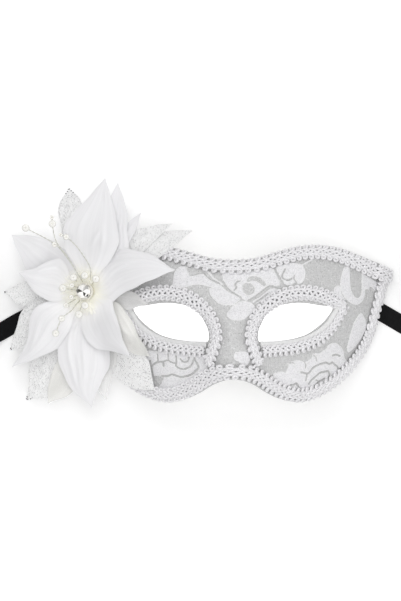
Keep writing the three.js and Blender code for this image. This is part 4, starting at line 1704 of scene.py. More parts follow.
@dataclass
class FlowerHeart(Assembly):
    """The bound core with the cut stone in its claw setting."""

    flower: FabricFlower
    core_radius: float = 4.5
    core_foot: float = 4.6
    core_top: float = 25.5
    thread_radius: float = 0.42
    thread_pitch: float = 0.8
    thread_short: float = 1.2
    thread_margin: float = 0.5
    thread_sink: float = 0.45
    foot_swell: Pair = (0.5, 9.0)
    plug_inset: Pair = (0.5, 0.55)
    stone_radius: float = 4.0
    table: float = 2.3
    crown: float = 1.7
    pavilion: float = 1.4
    girdle: float = 0.4
    gap: float = 0.4
    wall: float = 0.5
    seat_floor: float = 0.9
    lip: float = 1.2
    claws: int = 8
    claw_radii: Pair = (0.5, 0.34)
    claw_more: float = 1.7
    claw_lean: float = 0.32
    claw_tip: float = 0.46
    beads: int = 36
    bead_radius: float = 0.36
    bead_height: float = 0.75
    facets: int = 8
    culet: float = 0.15
    girdle_share: float = 0.99
    kite_out: float = 0.1
    kite_share: float = 0.62
    # Painted reflections: up to each bearing in degrees, how light the facets there are painted.
    tones: tuple[Pair, ...] = (
        (40, 1.0), (62, 0.4), (85, 0.6), (136, 0.9), (192, 0.0), (212, 1.0), (225, 0.1), (292, 1.0),
        (327, 0.0), (361, 0.95),
    )

    def tilted(self, shape: Shape) -> None:
        """Leans a shape outwards with the temple, about the flower's pivot.

        Args:
            shape: The shape, drawn upright about the Z axis, which is moved.
        """
        centre = Vector((*self.flower.centre, self.flower.pivot))
        lean = Matrix.Translation(centre) @ Matrix.Rotation(-self.flower.tilt, 4, "Y")
        lean = lean @ Matrix.Translation((0.0, 0.0, -self.flower.pivot))
        bmesh.ops.transform(shape, matrix=lean, verts=shape.verts)

    def build(self) -> None:
        """Makes the core, the setting and the stone."""
        self.make_core()
        self.make_setting()
        self.make_stone()

    def make_core(self) -> None:
        """Makes the core: a felt plug wound with thread, a little wider at its foot."""
        bottom, top = self.core_foot, self.core_top
        turns = np.linspace(0.0, 1.0, 900)
        angle = turns * ((top - bottom - self.thread_short) / self.thread_pitch) * math.tau
        swell, fade = self.foot_swell
        radius = self.core_radius - self.thread_sink + swell * np.exp(-turns * fade)
        height = bottom + self.thread_margin + turns * (top - bottom - 2.0 * self.thread_margin)
        line = np.column_stack([radius * np.cos(angle), radius * np.sin(angle), height])
        centre = np.array([*self.flower.centre, self.flower.pivot])
        lean = np.array(Matrix.Rotation(-self.flower.tilt, 3, "Y"))
        line = (line - np.array([0.0, 0.0, self.flower.pivot])) @ lean.T + centre
        thread = tube_mesh([line], self.thread_radius)
        low, high = (self.core_radius - inset for inset in self.plug_inset)
        plug = spun([(0.0, bottom), (low, bottom), (high, top), (0.0, top)], 24)
        self.tilted(plug)
        mesh = joined([thread, placed_mesh(plug)])
        self.workshop.piece("core_binding", mesh, ["core"], Slot.CORE, ["flower_core"])

    def make_setting(self) -> None:
        """Makes the cup, its claws and its ring of fine beads."""
        foot = self.core_top + self.gap
        floor = foot + self.seat_floor
        rim = floor + self.pavilion + self.lip
        inside = self.stone_radius + self.gap
        outside = inside + self.wall
        profile = [(0.0, foot), (inside - 0.5, foot), (outside - 0.3, foot + 0.3), (outside, floor),
                   (outside, rim - 0.9), (outside - 0.15, rim - 0.75), (inside + 0.05, rim - 0.75),
                   (inside - 0.1, floor), (0.0, floor - 0.1)]
        shape = spun(profile, 48)
        for index in range(self.claws):
            turn = Matrix.Rotation(math.tau * (index + 0.5) / self.claws, 4, "Z")
            claw = bmesh.ops.create_cone(shape, cap_ends=True, segments=8, radius1=self.claw_radii[0],
                                         radius2=self.claw_radii[1], depth=self.lip + self.claw_more)
            lean = turn @ Matrix.Translation((inside - 0.05, 0.0, rim - 0.5))
            lean = lean @ Matrix.Rotation(-self.claw_lean, 4, "Y")
            bmesh.ops.transform(shape, matrix=lean, verts=claw["verts"])
            ball(shape, turn @ Vector((inside - 0.55, 0.0, rim + 0.85)), self.claw_tip, 2)
        for index in range(self.beads):
            angle = math.tau * index / self.beads
            place = (outside * math.cos(angle), outside * math.sin(angle), foot + self.bead_height)
            ball(shape, place, self.bead_radius, 1)
        self.tilted(shape)
        self.workshop.piece("claw_setting", placed_mesh(shape), ["metal"], Slot.METAL, ["stone_setting"])

    def make_stone(self) -> None:
        """Cuts the stone: a brilliant with a table, kites, girdle and pavilion facets."""
        foot = self.core_top + self.seat_floor + 2 * self.gap
        girdle = foot + self.pavilion
        top = girdle + self.girdle + self.crown
        few, many = self.facets, 2 * self.facets
        wide = self.stone_radius * self.girdle_share
        kite = (self.stone_radius + self.table) / 2 + self.kite_out
        kite_top = girdle + self.girdle + self.crown * self.kite_share
        rings = [(self.culet, foot, few, 0.0), (wide, girdle, many, 0.0),
                 (wide, girdle + self.girdle, many, 0.0), (kite, kite_top, few, 0.5),
                 (self.table, top, many, 0.5)]
        shape = bmesh.new()
        for radius, height, count, shift in rings:
            for index in range(count):
                turn = math.tau * (index + shift) / count
                shape.verts.new((radius * math.cos(turn), radius * math.sin(turn), height))
        bmesh.ops.convex_hull(shape, input=shape.verts)
        bmesh.ops.dissolve_limit(shape, angle_limit=0.02, verts=shape.verts, edges=shape.edges)
        bmesh.ops.recalc_face_normals(shape, faces=shape.faces)
        bmesh.ops.poke(shape, faces=[facet for facet in shape.faces if facet.normal.z > 0.98], offset=-0.1)
        # Painted reflections: each facet gets the tone of its bearing, and some lower ones are painted fully light.
        tones = shape.faces.layers.float.new("facet_painted_reflection")
        draw = random.Random(11)
        for facet in shape.faces:
            middle = facet.calc_center_median()
            bearing = math.degrees(math.atan2(middle.y, middle.x)) % 360.0
            tone = next(tone for limit, tone in self.tones if bearing < limit)
            facet[tones] = draw.choice((tone, tone, tone, 1.0)) if middle.z < top - 0.2 else tone
        self.tilted(shape)
        made = self.workshop.piece("cut_stone", placed_mesh(shape), ["stone"], Slot.CRYSTAL, ["rhinestone"])
        made.data.polygons.foreach_set("use_smooth", [False] * len(made.data.polygons))


@dataclass(frozen=True)
class Sprig:
    """A twisted wire with pearls, in millimetres from the flower's centre and over the rim line."""

    name: str
    route: tuple[Triple, ...]
    pearls: tuple[tuple[float, ...], ...]


@dataclass
class PearlWork(Assembly):
    """The stamens around the stone and the long sprigs."""

    flower: FabricFlower
    sprigs: tuple[Sprig, ...]
    stamens: tuple[Triple, ...]
    wire: float = 0.2
    twist: float = 5.0
    hole_deep: float = 1.3
    hole_wide: float = 0.42
    core_top: float = 25.5
    above: float = 3.2
    first: float = 5.4
    thread_count: int = 230
    thread_radius: float = 0.17
    thread_spread: Pair = (0.9, 5.15)
    thread_start: float = 4.4
    thread_reach: Pair = (6.5, 14.0)
    thread_bow: float = 0.25
    thread_foot: float = 2.6
    thread_lift: float = 1.6
    thread_arch: Pair = (2.0, 2.4)
    thread_droop: float = 2.4

    def stamen(self, index: int) -> Sprig:
        """Gives one stamen as a short sprig.

        Args:
            index: Its number in the list, from 0.

        Returns:
            The sprig.
        """
        x, y, radius = self.stamens[index]
        far = math.hypot(x, y)
        lean = (self.flower.pivot - self.core_top + 3.0) * self.flower.tilt
        height = self.core_top + self.above
        route = ((x / far * self.first + lean, y / far * self.first, self.core_top - self.above / 2),
                 (x * 0.8, y * 0.8, self.core_top - 0.4), (x, y, height))
        return Sprig(f"stamen_{index + 1}", route, ((x, y, height, radius),))

    def make(self, sprig: Sprig) -> None:
        """Makes one sprig: two wires twisted together, and its pearls.

        Args:
            sprig: The sprig.
        """
        offset = np.array([*self.flower.centre, 0.0])
        line = spline([np.array(place) + offset for place in sprig.route], 0.5)
        travel = unit(np.gradient(line, axis=0))
        side = unit(np.cross(travel, np.array([0.3, 0.2, 1.0])))
        lift = np.cross(side, travel)
        turn = distance_along(line)[:, None] * (math.tau / self.twist)
        swirl = (side * np.cos(turn) + lift * np.sin(turn)) * self.wire
        wires = tube_mesh([line + swirl, line - swirl], self.wire)
        shape = bmesh.new()
        for x, y, z, radius in sprig.pearls:
            pearl = bmesh.ops.create_uvsphere(shape, u_segments=24, v_segments=30, radius=radius)["verts"]
            for vertex in pearl:
                flat = math.hypot(vertex.co.x, vertex.co.y)
                sunk = math.copysign(self.hole_deep, vertex.co.z)
                vertex.co.z -= sunk * math.exp(-((flat / self.hole_wide) ** 2))
            bmesh.ops.transform(shape, matrix=Matrix.Translation(offset + np.array([x, y, z])), verts=pearl)
        bmesh.ops.recalc_face_normals(shape, faces=shape.faces)
        mesh = joined([placed_mesh(shape), wires], [0, 1])
        self.workshop.piece(sprig.name, mesh, ["pearl", "wire"], Slot.PEARL, [f"pearl_{sprig.name}"])

    def threads(self) -> None:
        """Makes the fine cream threads between the stamens."""
        draw = random.Random(5)
        lines = []
        way = np.linspace(0.0, 1.0, 9)[:, None]
        rise, bend = self.thread_arch
        for _ in range(self.thread_count):
            turn = draw.uniform(*self.thread_spread)
            out = self.thread_start + (draw.uniform(*self.thread_reach) - self.thread_start) * way
            turn = turn + draw.uniform(-self.thread_bow, self.thread_bow) * way * way
            height = self.core_top - self.thread_foot + draw.uniform(0.0, self.thread_lift)
            height = height + rise * np.sin(way * bend)
            height -= draw.uniform(0.0, self.thread_droop) * way * way
            height = height + self.flower.tilt * out * np.cos(turn)
            lines.append(np.hstack([self.flower.centre[0] + out * np.cos(turn),
                                    self.flower.centre[1] + out * np.sin(turn), height]))
        mesh = tube_mesh(lines, self.thread_radius, sides=4)
        self.workshop.piece("stamen_threads", mesh, ["tuft"], Slot.CORE)

    def build(self) -> None:
        """Makes the stamens, the sprigs and the threads."""
        for sprig in [self.stamen(index) for index in range(len(self.stamens))] + list(self.sprigs):
            self.make(sprig)
        self.threads()


@dataclass
class RibbonTie(Assembly):
    """A satin ribbon: a tab glued inside the rim, a stretch on the table and a loose roll."""

    side: str
    turn: int
    tab_from: Pair
    tab_bearing: Pair
    route: tuple[Triple, ...]
    length: float = 360.0
    width: float = 10.0
    thick: float = 0.35
    clear: float = 0.15
    solid_thick: float = 0.5
    tab: float = 17.0
    roll_outer: float = 31.0
    roll_pitch: float = 4.0
    shell_wall: float = 1.6
    gap: float = 0.4

    def centreline(self) -> tuple[Rows, Rows]:
        """Gives the ribbon's middle line, and how far it stands on its edge at each place.

        Returns:
            The line's places, and numbers from 0 for flat to 1 for upright.
        """
        low = TABLE + self.clear + self.solid_thick / 2.0
        high = TABLE + self.clear + self.width / 2.0
        stands = np.array([place[2] for place in self.route])
        heights = low + (high - low) * np.sin(stands * math.pi / 2.0)
        flat = spline([(x, y, z) for (x, y, _), z in zip(self.route, heights)], 1.0)
        nearest = [int(np.argmin(np.linalg.norm(flat[:, :2] - place[:2], axis=1))) for place in self.route]
        stand = np.interp(np.arange(len(flat)), nearest, stands)
        last, before = np.array(self.route[-1][:2]), np.array(self.route[-2][:2])
        travel = unit(last - before)
        reach = self.roll_outer + self.solid_thick / 2.0 + 2.5 * self.gap
        centre = last + np.array([-travel[1], travel[0]]) * self.turn * reach
        start = math.atan2(*(last - centre)[::-1])
        fade = self.roll_pitch / math.tau
        rest = self.length - float(distance_along(flat)[-1])
        sweep = (reach - math.sqrt(reach * reach - 2.0 * fade * rest)) / fade
        angle = np.linspace(0.0, sweep, round(rest))[1:]
        radius = reach - fade * angle
        bearing = start + self.turn * angle
        roll = np.column_stack([centre[0] + radius * np.cos(bearing), centre[1] + radius * np.sin(bearing),
                                np.full_like(angle, high)])
        return np.vstack([flat, roll]), np.concatenate([stand, np.ones(len(roll))])

    def lifted(self, places: Rows) -> Rows:
        """Keeps places of the ribbon's middle clear of the table."""
        places[:, 2] = np.maximum(places[:, 2], TABLE + self.clear + self.thick / 2.0)
        return places

    def build(self) -> None:
        line, stand = self.centreline()
        along = distance_along(line)
        travel = unit(np.gradient(line, along, axis=0))
        left = unit(np.column_stack([-travel[:, 1], travel[:, 0], np.zeros(len(line))]))
        angle = (stand * math.pi / 2.0)[:, None]
        across = left * np.cos(angle) + np.array([0.0, 0.0, 1.0]) * np.sin(angle)

        def at(u: Rows, v: Rows) -> Rows:
            """Gives places on the ribbon.

            Args:
                u: From 0 to 1 along.
                v: From 0 to 1 across.

            Returns:
                One row of x, y and z for each.
            """
            spot = u * along[-1]
            middle, side = (np.column_stack([np.interp(spot, along, column) for column in rows.T])
                            for rows in (line, across))
            return self.lifted(middle + side * ((v - 0.5) * self.width)[:, None])

        mesh = grid_sheet((round(along[-1] / 0.9), 10), at, (float(along[-1]), 1.0))
        nodes = [f"ribbon_{self.side}", f"ribbon_roll_{self.side}"]
        made = self.workshop.piece(f"tie_{self.side}", mesh, ["ribbon"], Slot.RIBBON, nodes)
        solidified(made, self.thick, offset=0.0)
        places = to_frame(line)
        self.make_tab()

    def make_tab(self) -> None:
        """Makes the end that is glued inside the mask."""

        def at(u: Rows, v: Rows) -> Rows:
            """Gives places on the tab.

            Args:
                u: From 0 to 1 along.
                v: From 0 to 1 across.

            Returns:
                One row of x, y and z for each.
            """
            out, aside = u * self.tab, (v - 0.5) * self.width
            x = self.tab_from[0] + self.tab_bearing[0] * out - self.tab_bearing[1] * aside
            y = self.tab_from[1] + self.tab_bearing[1] * out + self.tab_bearing[0] * aside
            return self.lifted(FORM.on_front(x, y, -self.shell_wall - self.gap))

        mesh = grid_sheet((24, 10), at, (self.tab, 1.0))
        made = self.workshop.piece(f"tie_tab_{self.side}", mesh, ["ribbon"], Slot.RIBBON,
                                   [f"ribbon_tab_{self.side}"])
        solidified(made, self.thick, offset=-1.0 if self.tab_bearing[0] < 0 else 1.0)


@dataclass(frozen=True)
class Lamp:
    """A soft square lamp that faces the mask, in metres and watts."""

    name: str
    place: Triple
    size: float
    power: float

    def build(self) -> None:
        """Hangs the lamp."""
        light = bpy.data.lights.new(self.name, "AREA")
        light.size, light.energy = self.size, self.power
        held = in_scene(self.name, light)
        held.location = self.place
        held.rotation_euler = (-Vector(self.place)).to_track_quat("-Z", "Y").to_euler()


@dataclass
class Studio:
    """The white floor, the soft lights, the pale sky and the camera straight above the mask."""

    eye: Triple = (-18.2, 13.72, 1500.0)
    view_width: float = 224.56
    view_depth: float = 1470.0
    floor_size: float = 3.0
    world_level: float = 0.42
    lamps: tuple[Lamp, ...] = (
        Lamp("key_lamp", (-0.15, 0.75, 0.95), 0.7, 3.0),
        Lamp("fill_lamp", (0.9, -0.4, 0.95), 0.9, 3.4),
        Lamp("low_lamp", (-0.3, -1.0, 0.75), 0.9, 1.7),
        Lamp("top_lamp", (-0.03, 0.03, 1.4), 0.8, 5.1),
    )

    def camera(self) -> None:
        """Hangs the camera over the mask, its upright along +Y."""
        lens = bpy.data.cameras.new("camera")
        lens.sensor_fit = "HORIZONTAL"
        lens.angle = 2.0 * math.atan(self.view_width / 2.0 / self.view_depth)
        lens.clip_start, lens.clip_end = 0.05, 20.0
        held = in_scene("camera", lens)
        held.location = Vector(to_frame(np.array(self.eye)))
        bpy.context.scene.camera = held

    def build(self, wardrobe: Wardrobe) -> None:
        """Sets the floor, the lights, the sky and the tones.

        Args:
            wardrobe: The finishes.
        """
        shape = bmesh.new()
        bmesh.ops.create_grid(shape, x_segments=4, y_segments=4, size=self.floor_size)
        mesh = close_mesh(shape)
        mesh.materials.append(wardrobe["floor"])
        floor = in_scene("paper_floor", mesh)
        floor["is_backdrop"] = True
        for lamp in self.lamps:
            lamp.build()
        world = bpy.data.worlds.new("studio")
        world.use_nodes = True
        sky = world.node_tree.nodes["Background"]
        sky.inputs["Color"].default_value = (1.0, 1.0, 1.0, 1.0)
        sky.inputs["Strength"].default_value = self.world_level
        scene = bpy.context.scene
        scene.world = world
        scene.view_settings.view_transform = "Standard"
        scene.view_settings.look = "None"


SOLIDS = (
    ((-33.5, 20.1), (-33.5, 25.1), (-32.7, 29.6), (-30.2, 32.4), (-26.3, 32.9), (-25.4, 30.1), (-24, 27.6),
     (-20.7, 27.9), (-16.8, 28.7), (-14.6, 27.3), (-11.8, 24.5), (-7.9, 22.9), (-6.3, 21.2), (-7.9, 19.5),
     (-11.8, 20.7), (-15.1, 21.8), (-19.6, 22.4), (-24, 21.8), (-27.9, 20.4), (-30.7, 19)),
    ((-13.5, 20.1), (-12.9, 16.8), (-10.7, 14), (-8, 11.8), (-5.2, 11), (-2.4, 11.2), (-0.2, 11),
     (1.4, 12.1), (3.1, 13.4), (4.2, 15.4), (2.6, 16.5), (-0.2, 17.3), (-3, 18.7), (-5.2, 20.6),
     (-6.8, 21.8), (-10.7, 21.2)),
    ((-3.6, 6.8), (-2.5, 8.2), (-0.8, 10.4), (1.4, 11.8), (3.6, 13.2), (7, 13.4), (9.7, 12.6), (11.4, 11.2),
     (12, 9), (10.3, 6.8), (8.6, 5.2), (6.4, 3.5), (3.6, 2.7), (0.8, 2.7), (-1.9, 3.5), (-3.6, 4.9)),
    ((-6.3, 27.9), (-5.1, 29.8), (-1.8, 30.4), (2.6, 30.1), (7.6, 30.1), (13.8, 30.7), (16, 31.5),
     (19.4, 32.4), (21.6, 31.8), (23.2, 29.6), (24.9, 26.2), (26, 22.6), (22.6, 21.5), (20.4, 21.8),
     (18.1, 20.1), (15.3, 18.2), (12.5, 15.9), (9.8, 14.1), (6.4, 13.8), (4.2, 15.1), (1.4, 16.8),
     (-1.3, 18.4), (-4.1, 21.2), (-5.7, 24.5)),
    ((10.3, 13.2), (13.7, 15.1), (17, 17.6), (20.4, 20.1), (23.7, 20.7), (24.8, 18.4), (20.3, 15.7),
     (15.9, 13.4), (12.5, 11.8)),
    ((23.8, 31.8), (26.1, 33.2), (29.5, 34.1), (32.8, 34.8), (36.2, 34.4), (39, 33), (40.4, 30.2),
     (40.1, 26.8), (38.9, 24), (36.6, 22.6), (34.7, 23.8), (33, 22.6), (30.4, 21.8), (28.2, 22.3),
     (26.6, 25.4), (24.9, 28.5)),
    ((21.8, -27.7), (23.2, -26.5), (25.5, -25.9), (27.7, -25.6), (28.8, -26.6), (29.8, -25.2),
     (30.4, -22.7), (31.3, -20.8), (33.9, -19.7), (36.7, -19.4), (39.5, -20.3), (42.1, -19.8),
     (43.5, -18.4), (44.4, -16.7), (46.1, -15.6), (48.7, -15.5), (50.1, -14.3), (52.1, -13.2),
     (53.6, -11.2), (55.9, -10), (58.5, -10.3), (60.9, -12.2), (62.5, -14.8), (63.1, -18.2), (64.7, -20.5),
     (67.2, -23.4), (64.2, -27.9), (58.4, -34), (50.3, -40.1), (37.6, -43.2), (29.1, -41.9), (24.5, -37.9),
     (23, -33.9), (22.1, -30.5)),
    ((0.5, -14.9), (3.5, -14.3), (6.9, -14.4), (8.5, -15.8), (9.1, -18), (8.5, -20.7), (6.9, -22.4),
     (4.6, -21.8), (2.4, -19.8), (0.5, -19)),
    ((-48.1, -14.5), (-41.9, -14.5), (-35.2, -14.9), (-28.5, -15.4), (-21.2, -15.1), (-15.2, -14.8),
     (-14.1, -18.1), (-14.3, -23.6), (-15.2, -28.7), (-18.5, -33.8), (-24.1, -37.9), (-31.9, -39.7),
     (-39.2, -38.1), (-42.3, -36.2), (-41.7, -34.2), (-40.2, -33.2), (-39.8, -31.3), (-38.7, -30.2),
     (-40.3, -29.2), (-42, -28.5), (-44.8, -28.6), (-47, -24.1), (-48.7, -18.5)),
)
PAIRED_SOLIDS = (
    ((62.8, 32.6), (61, 28), (60.2, 23.5), (60.8, 19.1), (62.6, 15.7), (65.4, 12.9), (69, 11.2),
     (71.9, 11.9), (74.3, 14.9), (75, 19.1), (74.7, 23.6), (74.3, 27.6), (73.6, 30.4), (69.5, 32.6),
     (66, 33.7)),
    ((73, 28.7), (76, 27.6), (79.6, 25.6), (83, 23.4), (83.4, 19.7), (81.6, 18.6), (80, 20.2), (78.2, 21.5),
     (77, 19.3), (75.8, 20.2), (74.6, 19.7), (73, 22.5)),
    ((56.3, 19.6), (57.5, 21.8), (58.9, 22.4), (60.2, 21.3), (60.8, 17.9), (62.4, 15.1), (64.2, 11.8),
     (62.5, 10.1), (59.5, 11.8), (57.2, 14.6)),
    ((72.6, 6.9), (74.8, 4.1), (76.1, 0.9), (75.9, -2.5), (74.4, -5.9), (72.3, -9.3), (70, -12.1),
     (67, -14.9), (65.2, -15.7), (64.7, -12.5), (65.5, -8.6), (66.7, -4.1), (67.9, -0.1), (69.7, 3.5)),
)
STEMS = (
    (1.3, ((-16.3, 31.5), (-13.5, 29), (-10.7, 25.9), (-6.3, 22.9))),
    (0.9, ((37.3, 32.7), (40.7, 34.7), (44.2, 36.7), (47.6, 38.1))),
    (0.55, ((-9.1, -8.3), (-4.2, -10.5), (0.8, -12.9))),
    (0.5, ((-8, -26.3), (-5.3, -23.4), (-2.5, -21.7), (0.2, -20.6))),
)
GAPS = (
    ((5.5, 22.6), (8.1, 23.4), (10.1, 22.7), (11.6, 20.9), (11.6, 18.7), (10.1, 17.2), (8.1, 16.7),
     (6.2, 17.8), (5.2, 20.1)),
    ((7.3, 24.8), (9.3, 26.8), (12.1, 27.2), (14.8, 26.3), (17.1, 24.4), (18.3, 22.3), (16.5, 21.9),
     (14.8, 23.3), (12.9, 24.5), (10.1, 24.8), (8.2, 24)),
    ((-44.8, -28.8), (-43.4, -29.4), (-42.5, -29), (-41.1, -30), (-39.2, -29.3), (-40.1, -31),
     (-40.3, -32.7), (-42, -34.2), (-42.9, -35.9)),
)
PAIRED_GAPS = (
    ((66.2, 35.4), (66, 28.1), (66.2, 23.6), (66.6, 20.2), (67.7, 17.4), (69.5, 15.4), (71.3, 15.4),
     (72.5, 17.4), (72.9, 20.8), (72.9, 25.3), (72.7, 29.8), (71.8, 33.2), (68.9, 35.4)),
)
CREASES = (
    (0.75, ((-17.4, 30.1), (-15.1, 27.8), (-12.4, 25.4), (-10.2, 24.3), (-7.4, 22.9))),
    (0.7, ((3.7, 24.4), (2, 24), (0.9, 22.3), (1.7, 21), (0.5, 19.3))),
    (0.8, ((-5.7, 24.5), (-4.1, 21.5), (-1.3, 18.7), (1.5, 17), (4.2, 15.3))),
    (0.85, ((8.4, 13.7), (11.4, 15.5), (14.8, 17.8), (17, 19.7), (19.3, 21.4), (20.9, 21.8), (23.2, 21.1),
            (25.4, 20.4), (28.2, 20.9))),
    (0.6, ((12, 12.6), (15.9, 15.1), (19.2, 17.5))),
    (0.8, ((22.4, 32.9), (24.1, 29.6), (25.4, 27.1), (26.5, 25.1), (28.2, 22.6), (29.6, 21.5))),
    (0.75, ((28.9, 31.3), (27.8, 29), (27.1, 26.8), (28.4, 25.6), (30.5, 25), (32.6, 26))),
    (0.5, ((35, 24), (33.8, 25.7), (34.1, 27.6))),
    (0.85, ((42.5, -27), (43.6, -25.3), (45.3, -23.6), (47.6, -22.4), (49.9, -21.6), (52.2, -21.1),
            (54, -22), (55.2, -21.5), (55.8, -21), (56.9, -22), (58.8, -23.5), (60, -25.1), (61.8, -24.7))),
    (0.9, ((37.9, -26.2), (39.6, -26.8), (41.3, -27.1), (42.5, -27))),
    (0.75, ((41.3, -27.1), (41.1, -29.1), (40.8, -31))),
    (0.85, ((42.6, -33.1), (43.7, -31.2), (45.4, -29.7), (47.1, -28.3), (48.8, -26.9), (51.2, -26.3),
            (53.5, -26.1), (54.4, -27.6), (54.1, -29.6))),
    (0.95, ((46.1, -34.3), (47.2, -32.9), (48.3, -31.8), (50.1, -31), (51.5, -30.1))),
    (0.6, ((46.6, -30.9), (48.3, -31.8))),
    (0.95, ((31.2, -34.8), (32.3, -33.6), (34, -33.2), (35.1, -32.6), (36.3, -34.1), (37.2, -35.8))),
    (0.8, ((21.5, -27.4), (22.1, -29.9), (23.1, -33.6), (24.5, -36.7))),
    (0.9, ((56, -17.2), (58, -16.7), (60.4, -17.6))),
    (0.5, ((30.8, -21.1), (32.7, -20.8), (34.2, -21.6))),
    (0.45, ((39.5, -20.3), (40.7, -22.3), (40.4, -24))),
    (0.45, ((44.7, -16.7), (46.4, -18.2), (46.7, -20.1))),
    (0.9, ((-22.1, -15.7), (-21.3, -19.3), (-20.1, -21.2), (-19.4, -23.5), (-20.7, -25.1), (-22.4, -26.8),
           (-24, -27.7), (-26.8, -28.6), (-29.1, -28.9), (-31.9, -28.1), (-34.1, -27.5), (-36.3, -28.3),
           (-39.7, -28.5))),
    (0.8, ((-31.8, -17.1), (-31.6, -20.5), (-31.8, -22.7), (-30.4, -23.8), (-28.5, -24.4), (-26.3, -24.1),
           (-24, -22.9), (-22.9, -21.3), (-22.1, -19.3))),
    (0.8, ((-29.3, -18.8), (-28.5, -19.9), (-26.8, -20.5), (-25.1, -19.6), (-24.8, -17.4))),
    (0.7, ((-45.9, -23.5), (-44.2, -21.8), (-42.5, -20.8), (-39.1, -20.3), (-36.3, -19.7), (-33.5, -21.1),
           (-31.8, -21.1))),
    (0.9, ((-39, -20.3), (-38.8, -22.9))),
    (0.6, ((-36.3, -16.1), (-36.2, -19.4))),
    (0.6, ((-42.3, -16.1), (-42, -20.6))),
    (0.8, ((-21.5, -30.3), (-19, -29.3), (-16.8, -27))),
    (0.9, ((-46.5, -20.1), (-45.6, -24.6), (-44.8, -28.6), (-43.4, -31.4), (-41.4, -33.6))),
    (0.6, ((4.1, -21.5), (6.9, -22.9), (10.2, -23.3))),
)
LACE_MOTIFS = (
    *(Motif(Stitch.SOLID, outline) for outline in SOLIDS),
    *(Motif(Stitch.SOLID, outline, both_sides=True) for outline in PAIRED_SOLIDS),
    *(Motif(Stitch.STEM, line, width) for width, line in STEMS),
    *(Motif(Stitch.GAP, outline) for outline in GAPS),
    *(Motif(Stitch.GAP, outline, both_sides=True) for outline in PAIRED_GAPS),
    *(Motif(Stitch.CREASE, line, width) for width, line in CREASES),
)


def eye_braids(side: str, upper: Sequence[Pair], lower: Sequence[Pair], plain: float) -> list[GimpBraid]:
    """Gives the two narrower braids round one eye.

    Args:
        side: The eye's side.
        upper: The upper braid's line.
        lower: The lower braid's line.
        plain: The edge of the lower braid that has a hem instead of loops.

    Returns:
        The upper and the lower braid.
    """
    narrow = {"right": -4.2, "left": 4.2, "pitch": 3.4, "curl": 1.55, "radius": 0.72, "loop": 1.05}
    return [GimpBraid(f"{side}_eye_upper", upper, longer=(8.0, 2.6), taper=9.0, **narrow),
            GimpBraid(f"{side}_eye_lower", lower, longer=(1.4, 2.4), plain=plain, **narrow)]


BRAIDS = (
    GimpBraid("lower_edge", PLAN.lower_edge(), 0.0, 9.4, pitch=3.8, start=11.0),
    GimpBraid("top_edge", PLAN.upper_edge(), 0.0, 9.4, pitch=4.1, fold=2.1),
    *eye_braids("right", PLAN.upper_eye_braid, PLAN.lower_eye_braid, 1.0),
    *eye_braids("left", mirrored(PLAN.upper_eye_braid), mirrored(PLAN.lower_eye_braid), -1.0),
)

